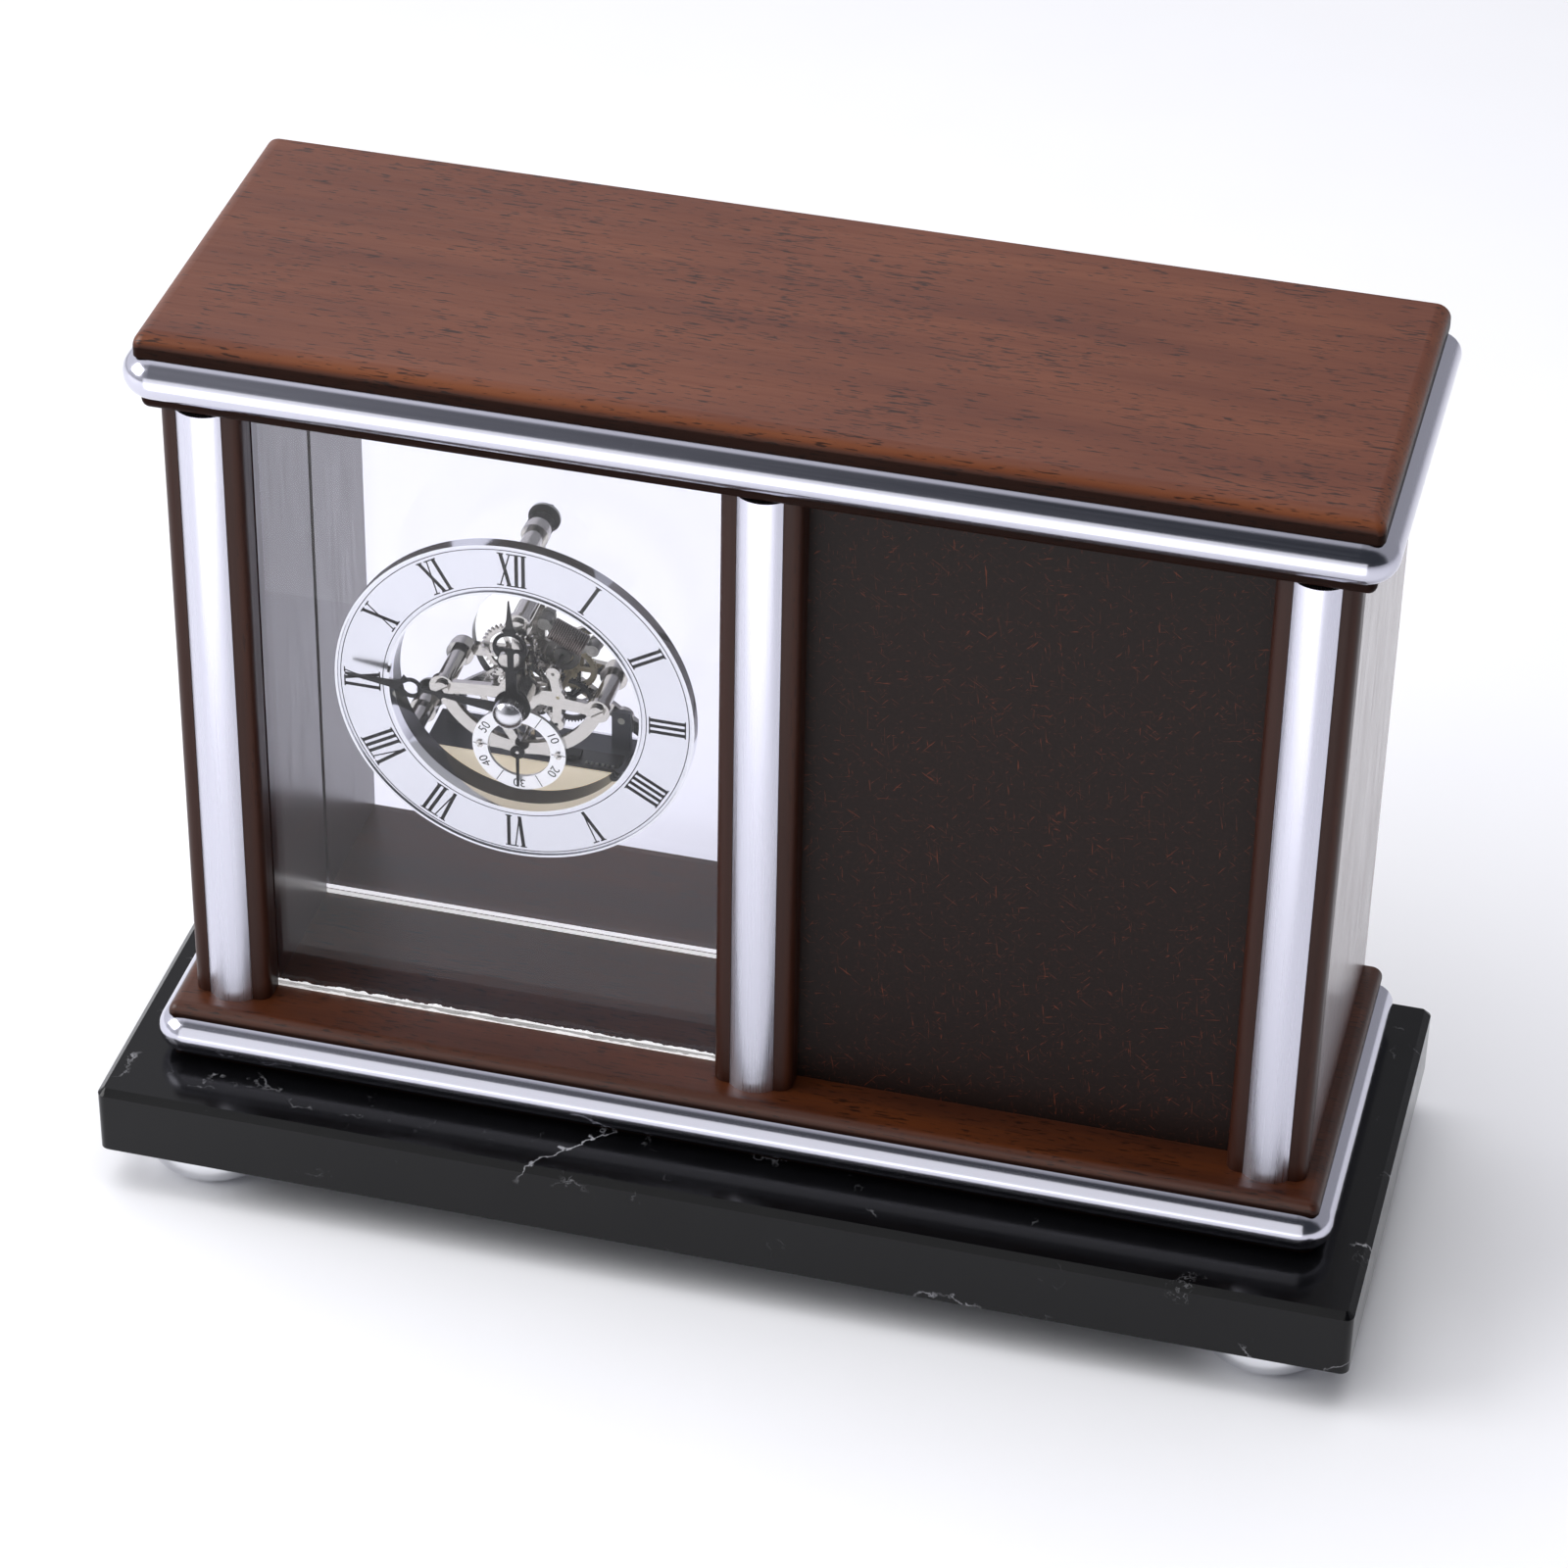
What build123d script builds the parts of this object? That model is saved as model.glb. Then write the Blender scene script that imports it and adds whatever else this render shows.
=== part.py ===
from build123d import *
import os
from math import acos, atan2, cos, degrees, hypot, radians, sin

# Wooden desk clock: a skeleton movement behind glass and a blank plaque panel, in a small
# wooden case on a black stone slab. Millimetres, +X right, +Y to the back, +Z up.
# The origin lies on the standing surface under the middle of the slab.

# Bun feet and their threaded pins
FOOT_HEIGHT = 13.0
FOOT_BELLY_SHARE = 0.52
FOOT_RADIUS = 18.5
FOOT_TOP_RADIUS = 14.0
FOOT_BASE_RADIUS = 12.0
FOOT_INSET_X = 23.5
FOOT_INSET_Y = 24.0
FOOT_PIN_RADIUS = 3.0
FOOT_PIN_IN_FOOT = 7.0
FOOT_PIN_IN_SLAB = 11.0

# Stone slab
SLAB_WIDTH = 328.6
SLAB_DEPTH = 127.6
SLAB_THICK = 20.0
SLAB_CORNER = 2.4
SLAB_CHAMFER = 1.7
SLAB_UNDER_CHAMFER = 0.8

# Wooden boards
SLAB_LEDGE_SIDE = 13.3
SLAB_LEDGE_FRONT = 19.7
SLAB_LEDGE_BACK = 8.2
PLINTH_FOOT_STRIP = 1.4
PLINTH_UPPER = 3.6
PLINTH_ROUND = 2.9
STRIP_SETBACK = 0.8
PLINTH_LEDGE_SIDE = 4.9
CASE_HEIGHT = 178.4
CASE_FRONT_GAP = 8.0
PANEL_THICK = 20.0
BAY_WIDTH = 119.5
CORNICE_SIDE_OVERHANG = 4.4
CORNICE_FRONT_OVERHANG = 3.8
CORNICE_BACK_OVERHANG = 4.0
CORNICE_LIP = 3.7
CORNICE_UPPER = 6.3
CORNICE_ROUND = 3.8
LIP_SETBACK = 1.0
LIP_ROUND = 2.2
BOARD_CORNER = 2.0

# Half-round metal bands round the plinth and the cornice
BAND_HEIGHT = 11.0
BAND_SINK = 2.6
BAND_BULGE = 3.7
BAND_BEND = 2.5
BAND_STOP = 2.5
BAND_CLEARANCE = 0.1

# Stiles and the half-round pilasters let into them
STILE_WIDTH = 20.4
STILE_DEPTH = 7.5
STILE_ROUND = 3.2
PILASTER_WIDTH = 11.3
PILASTER_SINK = 1.6
PILASTER_BULGE = 2.4
PILASTER_CLEARANCE = 0.1
PILASTER_END_GAP = 0.5

# Glass, plaque panel and rear cover
SHEET_THICK = 3.0
SHEET_BITE = 4.8
SHEET_CLEARANCE = 0.2
PANE_ROOM = 39.2
PANE_BITE = 2.0
PANE_WINDOW_RADIUS = 19.0

# Wood screws and dowels
BASE_SCREW_X = 98.0
BASE_SCREW_FRONT = 32.0
BASE_SCREW_BACK = 24.0
BASE_SCREW_RADIUS = 2.2
BASE_SCREW_HEAD_RADIUS = 4.6
BASE_SCREW_HEAD = 2.8
BASE_SCREW_SINK = 7.0
BASE_SCREW_BITE = 10.0
CASE_SCREW_FRONT = 26.0
CASE_SCREW_BACK = 20.0
CASE_SCREW_RADIUS = 2.0
CASE_SCREW_HEAD_RADIUS = 4.0
CASE_SCREW_HEAD = 2.4
CASE_SCREW_SINK = 4.0
CASE_SCREW_BITE = 22.0
DOWEL_RADIUS = 4.0
DOWEL_IN_PANEL = 14.0
DOWEL_IN_CORNICE = 10.0
COVER_SCREW_RADIUS = 1.2
COVER_SCREW_HEAD_RADIUS = 2.4
COVER_SCREW_HEAD = 1.1
COVER_SCREW_LENGTH = 12.0
COVER_SCREW_INSET = 18.0
COVER_RECESS = 1.5
HOLE_CLEARANCE = 0.05
SLOT_WIDTH = 0.7
SLOT_DEPTH = 0.5
SLOT_ANGLE = 35.0

# Place of the clock's axis and the dial
DIAL_OFFSET = 1.35
DIAL_HEIGHT = 107.0
DIAL_STANDOFF = 26.0
DIAL_RADIUS = 46.9
DIAL_HOLE_RADIUS = 32.6
DIAL_THICK = 1.0
DRUM_WALL = 0.6
DRUM_LEDGE = 1.0
DRUM_RIM = 0.5
DRUM_DEPTH = 3.2
SLEEVE_DEPTH = 9.3
DRUM_BACK = 1.0
DIAL_CLEARANCE = 0.05

# Pillars that carry the dial on the movement and the movement on the pane
DIAL_PILLAR_CIRCLE = 37.5
DIAL_PILLAR_ANGLE = 125.0
DIAL_PILLAR_RADIUS = 2.6
FLANGE_RADIUS = 3.6
FLANGE_THICK = 2.4
STUD_RADIUS = 1.25
STUD_END = 0.8
SPACER_RADIUS = 3.4
WASHER_RADIUS = 4.2
WASHER_THICK = 0.8
NUT_ACROSS_FLATS = 5.0
NUT_THICK = 2.2
PANE_HOLE_CLEARANCE = 0.3

# Movement plates
DIAL_TO_PLATE = 4.4
PLATE_THICK = 1.5
PLATE_ROOM = 16.1
PLATE_PILLAR_X = 20.3
PLATE_PILLAR_DROP = 1.8
PLATE_PILLAR_TOP = 20.4
PLATE_PILLAR_RADIUS = 2.4
PLATE_SCREW_RADIUS = 0.95
PLATE_SCREW_BITE = 3.6
PLATE_SCREW_HEAD_RADIUS = 2.0
PLATE_SCREW_HEAD = 1.1
EYE_RADIUS = 3.3
PIVOT_EYE_RADIUS = 1.9
ARM_WIDTH = 3.4
THIN_ARM_WIDTH = 2.38
EAR_EYE_RADIUS = 2.72
HUB_RADIUS = 5.4

# Wheels and arbors; the shares are half a tooth at its root, pitch circle and tip
MODULE = 0.275
HOUR_MODULE = 0.33
ADDENDUM = 0.85
DEDENDUM = 1.2
WHEEL_TOOTH_SHARES = (0.27, 0.20, 0.07)
PINION_TOOTH_SHARES = (0.19, 0.165, 0.08)
WHEEL_THICK = 0.9
WHEEL_PITCH = 2.2
FIRST_WHEEL_GAP = 0.9
RIM_WIDTH = 1.1
SPOKE_WIDTH = 1.0
WHEEL_HUB_RADIUS = 1.9
ARBOR_RADIUS = 0.62
PIVOT_RADIUS = 0.45
PIVOT_CLEARANCE = 0.05
END_SHAKE = 0.15
CENTRE_TEETH = 64
THIRD_TEETH = 60
THIRD_PINION = 8
FOURTH_TEETH = 48
FOURTH_PINION = 8
IDLER_TEETH = 48
STEP_TEETH = 45
STEP_PINION = 12
ROTOR_PINION = 6
CANNON_TEETH = 12
MINUTE_TEETH = 36
MINUTE_PINION = 12
HOUR_TEETH = 48
SECONDS_DROP = 16.6
STEP_ARBOR_X = 10.1
STEP_ARBOR_RISE = 0.6
ROTOR_BEARING = 100.0
MINUTE_BEARING = 110.0

# Pipes at the middle, from the inside out
CENTRE_ARBOR_RADIUS = 0.8
CANNON_RADIUS = 1.85
HOUR_PIPE_RADIUS = 2.5
BUSH_RADIUS = 3.5
BUSH_LENGTH = 3.4
PIPE_CLEARANCE = 0.05

# Hands
HAND_THICK = 0.5
HOUR_HAND_GAP = 1.2
MINUTE_HAND_GAP = 3.0
HOUR_HAND_LENGTH = 31.6
MINUTE_HAND_LENGTH = 43.3
HOUR_HAND_ANGLE = -1.0
MINUTE_HAND_ANGLE = -85.5
HOUR_HAND_DISC = 4.7
HOUR_STEM_FOOT = 1.7
HOUR_STEM_TOP = 1.35
HOUR_NECK = 0.8
SPUR_SHARE = 0.36
SPUR_REACH = 3.0
SPUR_ROOT = 1.2
SPUR_DROP = 1.6
SPUR_TIP_RISE = 0.6
RING_SHARE = 0.56
RING_RADIUS = 4.5
RING_LINE = 0.95
CURL_RADIUS = 1.75
CURL_DROP_SHARE = 0.45
CRESCENT_MOUTH = 5.95
DART_FOOT = 0.7
DART_REACH = 2.0
DART_REACH_RISE = 1.5
DART_WAIST = 1.0
DART_WAIST_RISE = 2.6
DART_NECK = 0.65
DART_NECK_RISE = 5.0
HOUR_TIP = 0.12
MINUTE_HUB = 3.4
MINUTE_STEM_FOOT = 1.8
MINUTE_STEM_TOP = 0.5
CROSS_SHARE = 0.42
CROSS_REACH = 1.6
CROSS_ROOT = 0.3
CROSS_DROP = 1.0
CROSS_RISE_ABOVE = 1.5
LOOP_SHARE = 0.6
LOOP_RADIUS = 2.9
LOOP_LINE = 0.95
LOOP_SHOULDER = 0.8
LOOP_PEAK = 1.2
LEAF_ROOT = 2.3
LEAF_ROOT_RISE = 0.9
LEAF_REACH = 3.4
LEAF_REACH_RISE = 2.2
LEAF_TOP = 1.6
LEAF_TOP_RISE = 2.9
BLADE_FOOT = 1.2
MINUTE_TIP = 0.2
NUT_RADIUS = 4.0
NUT_KNURLED = 2.4
NUT_GRIP_SHARE = 0.8
NUT_DOME = 1.7
NUT_RIDGES = 40
NUT_RIDGE_DEPTH = 0.25

# Seconds dial and hand
SUB_DIAL_RADIUS = 12.3
SUB_DIAL_HOLE = 8.3
SUB_DIAL_THICK = 0.9
SUB_SCREW_RADIUS = 0.5
SUB_SCREW_HEAD_RADIUS = 1.0
SUB_SCREW_HEAD = 0.5
SECONDS_HAND_LENGTH = 10.6
SECONDS_HAND_GAP = 1.0
SECONDS_HUB_RADIUS = 1.9
SECONDS_STEM_FOOT = 0.45
SECONDS_TIP = 0.3
SECONDS_HAND_ANGLE = 180.0

# Step motor and circuit board
MAGNET_RADIUS = 2.3
MAGNET_LENGTH = 2.4
STATOR_GAP = 0.5
STATOR_WALL = 1.7
STATOR_THICK = 1.2
STATOR_ARM = 3.0
COIL_X = 11.4
COIL_RISE = 15.6
COIL_TILT = -25.0
COIL_SPAN = 13.8
COIL_LENGTH = 9.4
COIL_RADIUS = 2.9
CORE_RADIUS = 0.9
CORE_TAB = 1.0
CORE_BOSS_RADIUS = 1.7
COIL_CLEARANCE = 0.3
POST_RADIUS = 1.3
BOARD_LENGTH = 18.0
BOARD_DEPTH = 6.6
BOARD_THICK = 1.0
BOARD_START = 6.0
BOARD_FRONT_INSET = 0.6

# Battery holder and cell
CELL_LENGTH = 50.5
CELL_RADIUS = 7.1
CELL_NUB_RADIUS = 2.7
CELL_NUB = 1.2
CELL_ROOM = 0.35
HOLDER_WALL = 1.2
HOLDER_TOP = -24.2
HOLDER_GAP = 0.3
CONTACT_THICK = 0.4
CONTACT_SIZE = 9.0
CONTACT_BUMP = 0.35
CONTACT_BUMP_RADIUS = 2.0
CONTACT_ROOM = 0.05
EAR_X = 22.0
EAR_WIDTH = 5.0
EAR_THICK = 1.5
EAR_OVERLAP = 2.6
HOLDER_SCREW_RADIUS = 0.95
HOLDER_SCREW_HEAD_RADIUS = 1.8
HOLDER_SCREW_HEAD = 1.0
KNOB_RADIUS = 4.0
KNOB_LENGTH = 5.0
KNOB_GAP = 0.4
KNOB_RIDGES = 24

# Levels and faces that follow from the sizes above
SLAB_BOTTOM = FOOT_HEIGHT
SLAB_TOP = SLAB_BOTTOM + SLAB_THICK
PLINTH_BAND_BOTTOM = SLAB_TOP + PLINTH_FOOT_STRIP
BAND_GROOVE = BAND_HEIGHT + 2 * BAND_CLEARANCE
PLINTH_BAND_TOP = PLINTH_BAND_BOTTOM + BAND_GROOVE
PLINTH_TOP = PLINTH_BAND_TOP + PLINTH_UPPER
CASE_TOP = PLINTH_TOP + CASE_HEIGHT
CORNICE_BAND_BOTTOM = CASE_TOP + CORNICE_LIP
CORNICE_BAND_TOP = CORNICE_BAND_BOTTOM + BAND_GROOVE
CORNICE_TOP = CORNICE_BAND_TOP + CORNICE_UPPER
PLINTH_WIDTH = SLAB_WIDTH - 2 * SLAB_LEDGE_SIDE
CASE_WIDTH = PLINTH_WIDTH - 2 * PLINTH_LEDGE_SIDE
CORNICE_WIDTH = CASE_WIDTH + 2 * CORNICE_SIDE_OVERHANG
WOOD_BACK = SLAB_DEPTH / 2 - SLAB_LEDGE_BACK
PLINTH_FRONT = SLAB_LEDGE_FRONT - SLAB_DEPTH / 2
CORNICE_BACK = WOOD_BACK + CORNICE_BACK_OVERHANG
STILE_FRONT = PLINTH_FRONT + CASE_FRONT_GAP
CORNICE_FRONT = STILE_FRONT - CORNICE_FRONT_OVERHANG
SHEET_FRONT = STILE_FRONT + STILE_DEPTH
SHEET_BACK = SHEET_FRONT + SHEET_THICK
PANE_FRONT = SHEET_BACK + PANE_ROOM
PANE_BACK = PANE_FRONT + SHEET_THICK
CASE_SIDE = CASE_WIDTH / 2
PANEL_INNER = CASE_SIDE - PANEL_THICK
PARTITION_LEFT = BAY_WIDTH - PANEL_INNER
PARTITION_RIGHT = PARTITION_LEFT + PANEL_THICK
PARTITION_X = PARTITION_LEFT + PANEL_THICK / 2
PANEL_MIDDLE = CASE_SIDE - PANEL_THICK / 2
STILE_SIDE_X = CASE_SIDE - STILE_WIDTH / 2
DIAL_X = BAY_WIDTH / 2 - PANEL_INNER + DIAL_OFFSET
DIAL_Z = SLAB_TOP + DIAL_HEIGHT
DIAL_FACE = PANE_FRONT - DIAL_STANDOFF
DRUM_FRONT = DIAL_FACE - DRUM_RIM
DRUM_REAR = DRUM_FRONT + DRUM_DEPTH
SLEEVE_REAR = DRUM_FRONT + SLEEVE_DEPTH
FRONT_PLATE_FACE = DIAL_FACE + DIAL_TO_PLATE
FRONT_PLATE_BACK = FRONT_PLATE_FACE + PLATE_THICK
BACK_PLATE_FACE = FRONT_PLATE_BACK + PLATE_ROOM
BACK_PLATE_BACK = BACK_PLATE_FACE + PLATE_THICK
HOUR_HAND_FACE = DIAL_FACE - HOUR_HAND_GAP - HAND_THICK
MINUTE_HAND_FACE = DIAL_FACE - MINUTE_HAND_GAP - HAND_THICK
NUT_FRONT = MINUTE_HAND_FACE - NUT_KNURLED
SUB_DIAL_FACE = FRONT_PLATE_FACE - SUB_DIAL_THICK
SECONDS_HAND_FACE = SUB_DIAL_FACE - SECONDS_HAND_GAP - HAND_THICK
HOLDER_BACK = PANE_FRONT - HOLDER_GAP
CELL_MIDDLE_Y = HOLDER_BACK - CELL_RADIUS - CELL_ROOM
HOLDER_FRONT = CELL_MIDDLE_Y - CELL_RADIUS - CELL_ROOM - HOLDER_WALL
CELL_MIDDLE_Z = HOLDER_TOP - HOLDER_WALL - CELL_ROOM - CELL_RADIUS
HOLDER_BOTTOM = CELL_MIDDLE_Z - CELL_RADIUS - CELL_ROOM - HOLDER_WALL
HOLDER_INNER = CELL_LENGTH / 2 + CONTACT_BUMP + CONTACT_THICK + CONTACT_ROOM
HOLDER_HALF = HOLDER_INNER + HOLDER_WALL


def wheel_front(layer):
    """Front face of a wheel layer, counted from the front plate."""
    return FRONT_PLATE_BACK + FIRST_WHEEL_GAP + layer * WHEEL_PITCH


HOUR_LAYER = wheel_front(0)
MINUTE_LAYER = wheel_front(1)
CENTRE_LAYER = wheel_front(2)
THIRD_LAYER = wheel_front(3)
FOURTH_LAYER = wheel_front(4)
STEP_LAYER = wheel_front(5)


def centre_distance(teeth_a, teeth_b, module):
    """Distance between two meshing arbors."""
    return (teeth_a + teeth_b) * module / 2


def on_bearing(point, distance, bearing):
    """The point at a distance and an angle from another point."""
    return (point[0] + distance * cos(radians(bearing)), point[1] + distance * sin(radians(bearing)))


def meeting_point(first, first_distance, second, second_distance, side):
    """The point at set distances from two points, on one side of the line between them."""
    span = hypot(second[0] - first[0], second[1] - first[1])
    bearing = degrees(atan2(second[1] - first[1], second[0] - first[0]))
    cosine = (first_distance ** 2 + span ** 2 - second_distance ** 2) / (2 * first_distance * span)
    return on_bearing(first, first_distance, bearing + side * degrees(acos(cosine)))


# Arbor places seen from the front, measured from the clock's axis
CENTRE_AT = (0.0, 0.0)
FOURTH_AT = (0.0, -SECONDS_DROP)
STEP_AT = (STEP_ARBOR_X, STEP_ARBOR_RISE)
THIRD_AT = meeting_point(
    CENTRE_AT, centre_distance(CENTRE_TEETH, THIRD_PINION, MODULE),
    FOURTH_AT, centre_distance(THIRD_TEETH, FOURTH_PINION, MODULE), -1)
IDLER_AT = meeting_point(
    FOURTH_AT, centre_distance(FOURTH_TEETH, IDLER_TEETH, MODULE),
    STEP_AT, centre_distance(IDLER_TEETH, STEP_PINION, MODULE), -1)
ROTOR_AT = on_bearing(STEP_AT, centre_distance(STEP_TEETH, ROTOR_PINION, MODULE), ROTOR_BEARING)
HOUR_DISTANCE = centre_distance(HOUR_TEETH, MINUTE_PINION, HOUR_MODULE)
MINUTE_MODULE = 2 * HOUR_DISTANCE / (CANNON_TEETH + MINUTE_TEETH)
MINUTE_AT = on_bearing(CENTRE_AT, HOUR_DISTANCE, MINUTE_BEARING)

LEFT_PILLAR_AT = (-PLATE_PILLAR_X, -PLATE_PILLAR_DROP)
RIGHT_PILLAR_AT = (PLATE_PILLAR_X, -PLATE_PILLAR_DROP)
TOP_PILLAR_AT = (0.0, PLATE_PILLAR_TOP)
PLATE_PILLARS_AT = (LEFT_PILLAR_AT, RIGHT_PILLAR_AT, TOP_PILLAR_AT)
DIAL_PILLARS_AT = tuple(
    on_bearing(CENTRE_AT, DIAL_PILLAR_CIRCLE, 90 + turn)
    for turn in (0, DIAL_PILLAR_ANGLE, -DIAL_PILLAR_ANGLE))
COIL_AT = (COIL_X, COIL_RISE)
CORE_END_LEFT = on_bearing(COIL_AT, COIL_SPAN / 2, 180 + COIL_TILT)
CORE_END_RIGHT = on_bearing(COIL_AT, COIL_SPAN / 2, COIL_TILT)
SUB_SCREW_X = (SUB_DIAL_RADIUS + SUB_DIAL_HOLE) / 2
SUB_SCREWS_AT = tuple((side * SUB_SCREW_X, -SECONDS_DROP) for side in (-1, 1))
EAR_LEVEL = EAR_X * DIAL_PILLARS_AT[1][1] / abs(DIAL_PILLARS_AT[1][0])
EARS_AT = tuple((side * EAR_X, EAR_LEVEL) for side in (-1, 1))


# Building blocks
def block(x0, x1, y0, y1, z0, z1):
    """A box between two corners."""
    return Pos((x0 + x1) / 2, (y0 + y1) / 2, (z0 + z1) / 2) * Box(x1 - x0, y1 - y0, z1 - z0)


def upright(x, y, z0, z1, radius):
    """A round bar along Z."""
    return Pos(x, y, (z0 + z1) / 2) * Cylinder(radius, z1 - z0)


def rod(at, y0, y1, radius):
    """A round bar along Y, placed from the clock's axis."""
    return Pos(DIAL_X + at[0], (y0 + y1) / 2, DIAL_Z + at[1]) * Rot(90, 0, 0) * Cylinder(radius, y1 - y0)


def sheet(sketch, y0, y1):
    """A flat piece cut to a sketch drawn as seen from the front, from the clock's axis."""
    face = Plane(origin=(DIAL_X, y1, DIAL_Z), x_dir=(1, 0, 0), z_dir=(0, -1, 0))
    return extrude(face * sketch, amount=y1 - y0)


def ring(at, y0, y1, outer, inner):
    """A round washer or tube along Y."""
    return sheet(Pos(*at) * (Circle(outer) - Circle(inner)), y0, y1)


def bar(start, end, width):
    """A straight strip between two points of a sketch."""
    length = hypot(end[0] - start[0], end[1] - start[1])
    bearing = degrees(atan2(end[1] - start[1], end[0] - start[0]))
    middle = ((start[0] + end[0]) / 2, (start[1] + end[1]) / 2)
    return Pos(*middle) * Rot(0, 0, bearing) * Rectangle(length, width)


def outline(*points):
    """A straight-sided shape of a sketch, taken round anticlockwise."""
    ring_of = list(zip(points, points[1:] + points[:1]))
    area = sum(a[0] * b[1] - b[0] * a[1] for a, b in ring_of)
    return Polygon(*(points if area > 0 else points[::-1]), align=None)


def slotted(head, at, y, radius):
    """A screw head with a straight slot, whose face lies at y and looks to the front."""
    slot = sheet(Pos(*at) * Rot(0, 0, SLOT_ANGLE) * Rectangle(2 * radius, SLOT_WIDTH), y, y + SLOT_DEPTH)
    return head - slot


def half_round(width, sink, bulge):
    """A flat strip of the sunk depth that bulges out in an arc, standing on its flat back."""
    edge = width / 2
    back = Line((0, -edge), (0, edge))
    upper = Line((0, edge), (sink, edge))
    crown = ThreePointArc((sink, edge), (sink + bulge, 0), (sink, -edge))
    lower = Line((sink, -edge), (0, -edge))
    return make_face(back + upper + crown + lower)


def group(solids):
    """Like pieces kept as separate solids under one name."""
    return Compound(children=list(solids))


PIECES = {}


# Bun feet, turned, with a threaded pin each into the slab
def bun_foot():
    base = Line((0, 0), (FOOT_BASE_RADIUS, 0))
    belly = ThreePointArc(
        (FOOT_BASE_RADIUS, 0), (FOOT_RADIUS, FOOT_HEIGHT * FOOT_BELLY_SHARE), (FOOT_TOP_RADIUS, FOOT_HEIGHT))
    top = Line((FOOT_TOP_RADIUS, FOOT_HEIGHT), (0, FOOT_HEIGHT))
    axis = Line((0, FOOT_HEIGHT), (0, 0))
    turned = revolve(Plane.XZ * make_face(base + belly + top + axis), Axis.Z)
    hole = upright(0, 0, FOOT_HEIGHT - FOOT_PIN_IN_FOOT, FOOT_HEIGHT, FOOT_PIN_RADIUS + HOLE_CLEARANCE)
    return turned - hole


FOOT_X = SLAB_WIDTH / 2 - FOOT_INSET_X
FOOT_Y = SLAB_DEPTH / 2 - FOOT_INSET_Y
FEET_AT = [(side_x * FOOT_X, side_y * FOOT_Y) for side_x in (-1, 1) for side_y in (-1, 1)]
PIECES["bun_feet"] = group(Pos(x, y, 0) * bun_foot() for x, y in FEET_AT)
FOOT_PIN_TOP = SLAB_BOTTOM + FOOT_PIN_IN_SLAB
PIECES["foot_pins"] = group(
    upright(x, y, FOOT_HEIGHT - FOOT_PIN_IN_FOOT, FOOT_PIN_TOP, FOOT_PIN_RADIUS) for x, y in FEET_AT)

# Stone slab with eased corners, chamfered edges, foot holes and sunk screw holes
BASE_SCREWS_AT = [
    (side * BASE_SCREW_X, y) for side in (-1, 1)
    for y in (PLINTH_FRONT + BASE_SCREW_FRONT, WOOD_BACK - BASE_SCREW_BACK)]
BASE_SCREW_SEAT = SLAB_BOTTOM + BASE_SCREW_SINK
BASE_SCREW_TOP = SLAB_TOP + BASE_SCREW_BITE
slab = block(-SLAB_WIDTH / 2, SLAB_WIDTH / 2, -SLAB_DEPTH / 2, SLAB_DEPTH / 2, SLAB_BOTTOM, SLAB_TOP)
slab = fillet(slab.edges().filter_by(Axis.Z), SLAB_CORNER)
slab = chamfer(slab.edges().group_by(Axis.Z)[-1], SLAB_CHAMFER)
slab = chamfer(slab.edges().group_by(Axis.Z)[0], SLAB_UNDER_CHAMFER)
for x, y in FEET_AT:
    slab -= upright(x, y, SLAB_BOTTOM, FOOT_PIN_TOP, FOOT_PIN_RADIUS + HOLE_CLEARANCE)
for x, y in BASE_SCREWS_AT:
    slab -= upright(x, y, SLAB_BOTTOM, SLAB_TOP, BASE_SCREW_RADIUS + HOLE_CLEARANCE)
    slab -= upright(x, y, SLAB_BOTTOM, BASE_SCREW_SEAT, BASE_SCREW_HEAD_RADIUS + HOLE_CLEARANCE)
PIECES["stone_slab"] = slab


# Wood screws that stand head down along Z
def standing_screw(x, y, seat, top, radius, head_radius, head):
    screw = upright(x, y, seat, top, radius) + upright(x, y, seat - head, seat, head_radius)
    return screw - block(
        x - head_radius, x + head_radius, y - SLOT_WIDTH / 2, y + SLOT_WIDTH / 2,
        seat - head, seat - head + SLOT_DEPTH)


PIECES["base_screws"] = group(
    standing_screw(
        x, y, BASE_SCREW_SEAT, BASE_SCREW_TOP,
        BASE_SCREW_RADIUS, BASE_SCREW_HEAD_RADIUS, BASE_SCREW_HEAD) for x, y in BASE_SCREWS_AT)


# Plinth board: a foot strip, a core cut back for the band and a rounded-over upper edge
def round_front_edges(board, level, radius):
    """Round the edges of one face, its highest or lowest, all round except along the back."""
    edges = board.edges().group_by(Axis.Z)[level].sort_by(Axis.Y)[:-1]
    return fillet(edges, radius)


def layer(width, front, back, z0, z1, corner):
    """One layer of a board, with its two front corners rounded."""
    board = block(-width / 2, width / 2, front, back, z0, z1)
    return fillet(board.edges().filter_by(Axis.Z).group_by(Axis.Y)[0], corner)


CASE_SCREWS_AT = [
    (x, y) for x in (-PANEL_MIDDLE, PARTITION_X, PANEL_MIDDLE)
    for y in (SHEET_FRONT + CASE_SCREW_FRONT, WOOD_BACK - CASE_SCREW_BACK)]
CASE_SCREW_SEAT = SLAB_TOP + CASE_SCREW_SINK
CASE_SCREW_TOP = PLINTH_TOP + CASE_SCREW_BITE
plinth = round_front_edges(
    layer(PLINTH_WIDTH, PLINTH_FRONT, WOOD_BACK, PLINTH_BAND_TOP, PLINTH_TOP, BOARD_CORNER),
    -1, PLINTH_ROUND)
plinth += layer(
    PLINTH_WIDTH - 2 * BAND_SINK, PLINTH_FRONT + BAND_SINK, WOOD_BACK,
    PLINTH_BAND_BOTTOM, PLINTH_BAND_TOP, BAND_BEND)
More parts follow.
